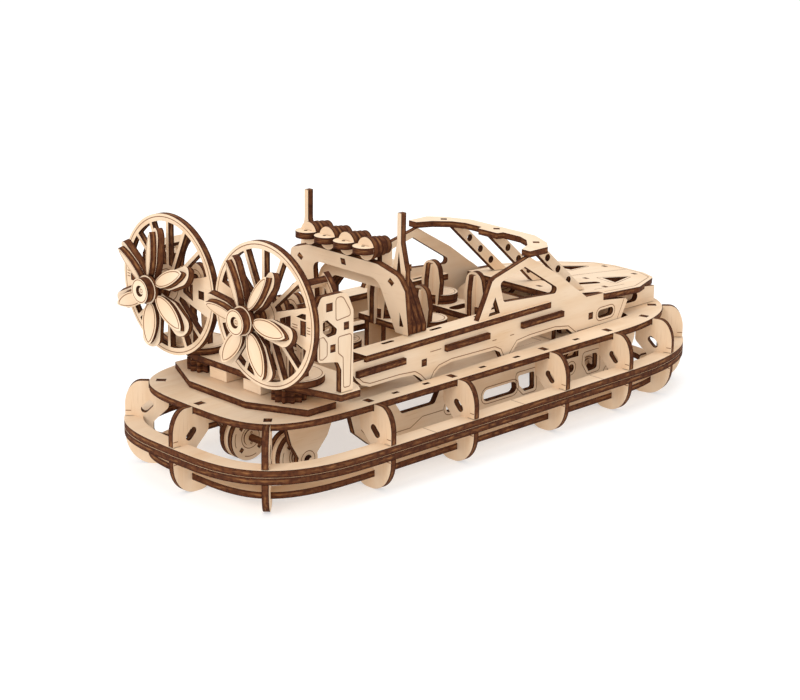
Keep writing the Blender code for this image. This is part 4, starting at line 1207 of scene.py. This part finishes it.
# %% Roof bow and pillars
ROOF_BOTTOM = 46.2
NOSE_HEIGHT = 16.0
NOSE_X = 234.0
NOSE_SLOPE = 0.1
roof = both_halves([(197.5, 22), (191, 36), (185, 42), (172, 42), (172, 36.5), (180, 33), (187, 26), (190, 19),
                    (190, 7.5), (186.5, 6.5)])
piece = Ply("windshield_bow")
piece.sheet(roof, flat(ROOF_BOTTOM), grain=90,
            tabs=[turned_box(x, y, 3.2, 3.2, 45) for x, y in ((193, 0), (187.4, 32), (187.4, -32))])
piece.done("hull", "roof_bow")


def nose_top(x):
    """Height of the nose plate's top face."""
    return NOSE_HEIGHT - NOSE_SLOPE * (x - NOSE_X)


pillar_top = ROOF_BOTTOM - GAP
pillar = [(188, pillar_top), (196, pillar_top), (230, nose_top(230) + GAP), (220, nose_top(220) + GAP)]
pillar_holes = [circle(192 + 33 * part, pillar_top + (nose_top(225) - pillar_top) * part, 1.9, 20)
                for part in (0.25, 0.5, 0.75)]
for name, y in (("port", 27), ("middle", 0), ("starboard", -27)):
    piece = Ply(f"windshield_strut_{name}")
    piece.sheet(pillar, along(y), pillar_holes, grain=-42)
    piece.done("hull", f"pillar_{name}")

# %% Nose plate and bearers
nose_plan = rounded([(-29, 31), (-0.2, 34.5), (-0.2, 39), (33, 35, 8), (62, 21, 8), (67, 10, 4), (67, -10, 4),
                     (62, -21, 8), (33, -35, 8), (-0.2, -39), (-0.2, -34.5), (-29, -31)], 7)
nose_rim = rounded([(3, 36), (32, 32.6, 7), (60, 19.6, 7), (64.4, 9.4, 4), (64.4, -9.4, 4), (60, -19.6, 7),
                    (32, -32.6, 7), (3, -36)], 7)
nose_holes = [[(-8, -4), (-8, 4), (2, 0)]]
nose_tabs = []
nose_marks = [nose_rim, [(14, 0), (64, 0)]]
for side in (1, -1):
    nose_holes += [[(31, side * 11), (49, side * 14.5), (28.5, side * 22)], slot(10, side * 17, 20, 4, side * 8)]
    nose_tabs += [box(x - 1.5, side * y - 1.5, x + 1.5, side * y + 1.5) for x, y in ((21, 8), (14, 27), (58.5, 10.5), (-20.5, 12))]
    nose_marks += [closed(rounded([(28, side * 9, 1.5), (53, side * 14.4, 1.5), (25.5, side * 24.5, 1.5)])),
                   [(2, side * 30), (30, side * 27)]]
nose_place = at(NOSE_X, 0, NOSE_HEIGHT) @ Matrix.Rotation(atan2(NOSE_SLOPE, 1), 4, "Y")
piece = Ply("nose_deck")
piece.sheet(nose_plan, moved(nose_place, z=-SHEET / 2), nose_holes, marks=nose_marks, tabs=nose_tabs)
bearer = [(212, foot), (255, foot), (256, GAP), (286, GAP), (286, nose_top(286) - 2), (212, nose_top(212) - 2)]
for y in (28, -28):
    piece.sheet(bearer, along(y), [slot(228, 5, 20, 6), slot(264, 5.5, 16, 5)])
piece.done("hull", "nose")

# %% [markdown]
# ## The engine
# Amidships a bench carries a slotted wall and two stacks of round covers.

# %% Engine
piece = Ply("engine_block")
piece.sheet(box(58, -30, 92, 30), flat(4), grain=90)
for y in (24, -24):
    piece.sheet(box(60, foot, 88, 5), along(y))
wall = rounded([(-24, 6), (24, 6), (24, 16, 3), (18, 22, 3), (-18, 22, 3), (-24, 16, 3)])
piece.sheet(wall, across(64), [slot(-8, 14, 14, 3), slot(9, 13.6, 14, 3)],
            marks=[closed(slot(-8, 14, 17, 6)), closed(slot(9, 13.6, 17, 6))])
for x, y, radius, low, high, spokes in ((78, -10, 9, 6.5, 17, 12), (76, 12, 8, 6, 21, 10), (78, -10, 5, 16, 22, 8)):
    marks = [closed(circle(0, 0, radius * share, 32)) for share in (0.88, 0.32)]
    marks += [turned([(radius * 0.45, 0), (radius * 0.74, 0)], 0, 0, 360 / spokes * i) for i in range(spokes)]
    piece.disc(radius, at(x, y, (low + high) / 2), high - low, steps=40, layers=3, marks=marks, sides=(1,),
               holes=[circle(0, 0, radius * 0.16, 16)])
piece.done("hull", "engine")

# %% [markdown]
# ## Studio
# The photograph is a product shot: white all round, with soft light from above and from the
# left. A pale floor, three broad area lights and a bright world give the same even light.

# %% Floor
floor_mesh = bpy.data.meshes.new("studio_floor")
floor_size = 40.0
floor_mesh.from_pydata([(x * floor_size, y * floor_size, 0) for x, y in ((-1, -1), (1, -1), (1, 1), (-1, 1))], [],
                       [(0, 1, 2, 3)])
studio_floor = bpy.data.objects.new("studio_floor", floor_mesh)
bpy.context.scene.collection.objects.link(studio_floor)
floor_material, _, floor_shader = new_material("pale_floor")
floor_shader.inputs["Base Color"].default_value = (0.55, 0.55, 0.55, 1)
floor_shader.inputs["Roughness"].default_value = 0.9
floor_shader.inputs["Specular IOR Level"].default_value = 0.1
floor_shader.inputs["Emission Color"].default_value = (1, 1, 1, 1)
floor_shader.inputs["Emission Strength"].default_value = 0.5
floor_mesh.materials.append(floor_material)

# %% Light
world = bpy.data.worlds.new("studio")
world.use_nodes = True
world.node_tree.nodes["Background"].inputs["Color"].default_value = (1, 1, 1, 1)
world.node_tree.nodes["Background"].inputs["Strength"].default_value = 1.0
bpy.context.scene.world = world
TARGET = Vector((0, 0, 0.05))


def area_light(name, place, size, power):
    """Soft square light that looks at the model."""
    data = bpy.data.lights.new(name, "AREA")
    data.shape = "SQUARE"
    data.size = size
    data.energy = power
    lamp_object = bpy.data.objects.new(name, data)
    lamp_object.location = place
    lamp_object.rotation_euler = (TARGET - Vector(place)).to_track_quat("-Z", "Y").to_euler()
    bpy.context.scene.collection.objects.link(lamp_object)


area_light("key", (-1.3, -0.3, 0.9), 0.8, 10.0)
area_light("fill", (-0.4, -1.2, 0.9), 1.0, 1.0)
area_light("top", (0.4, 0.1, 1.4), 0.8, 4.0)
bpy.context.scene.view_settings.view_transform = "Standard"

# %% [markdown]
# ## Camera
# The photograph looks at the model from behind its starboard quarter, from a little above. The
# three directions below are the camera's axes in the model's frame.

# %% Camera
camera_data = bpy.data.cameras.new("camera")
camera_data.lens = 91.78
camera_data.sensor_width = 36.0
camera = bpy.data.objects.new("camera", camera_data)
right = Vector((0.71617, -0.69777, 0.01438))
up = Vector((0.19786, 0.22275, 0.95458))
back = Vector((-0.66929, -0.6808, 0.29759))
turn = Matrix((right, up, back)).transposed().to_4x4()
camera.matrix_world = Matrix.Translation((-0.69007, -0.68256, 0.33804)) @ turn
bpy.context.scene.collection.objects.link(camera)
bpy.context.scene.camera = camera
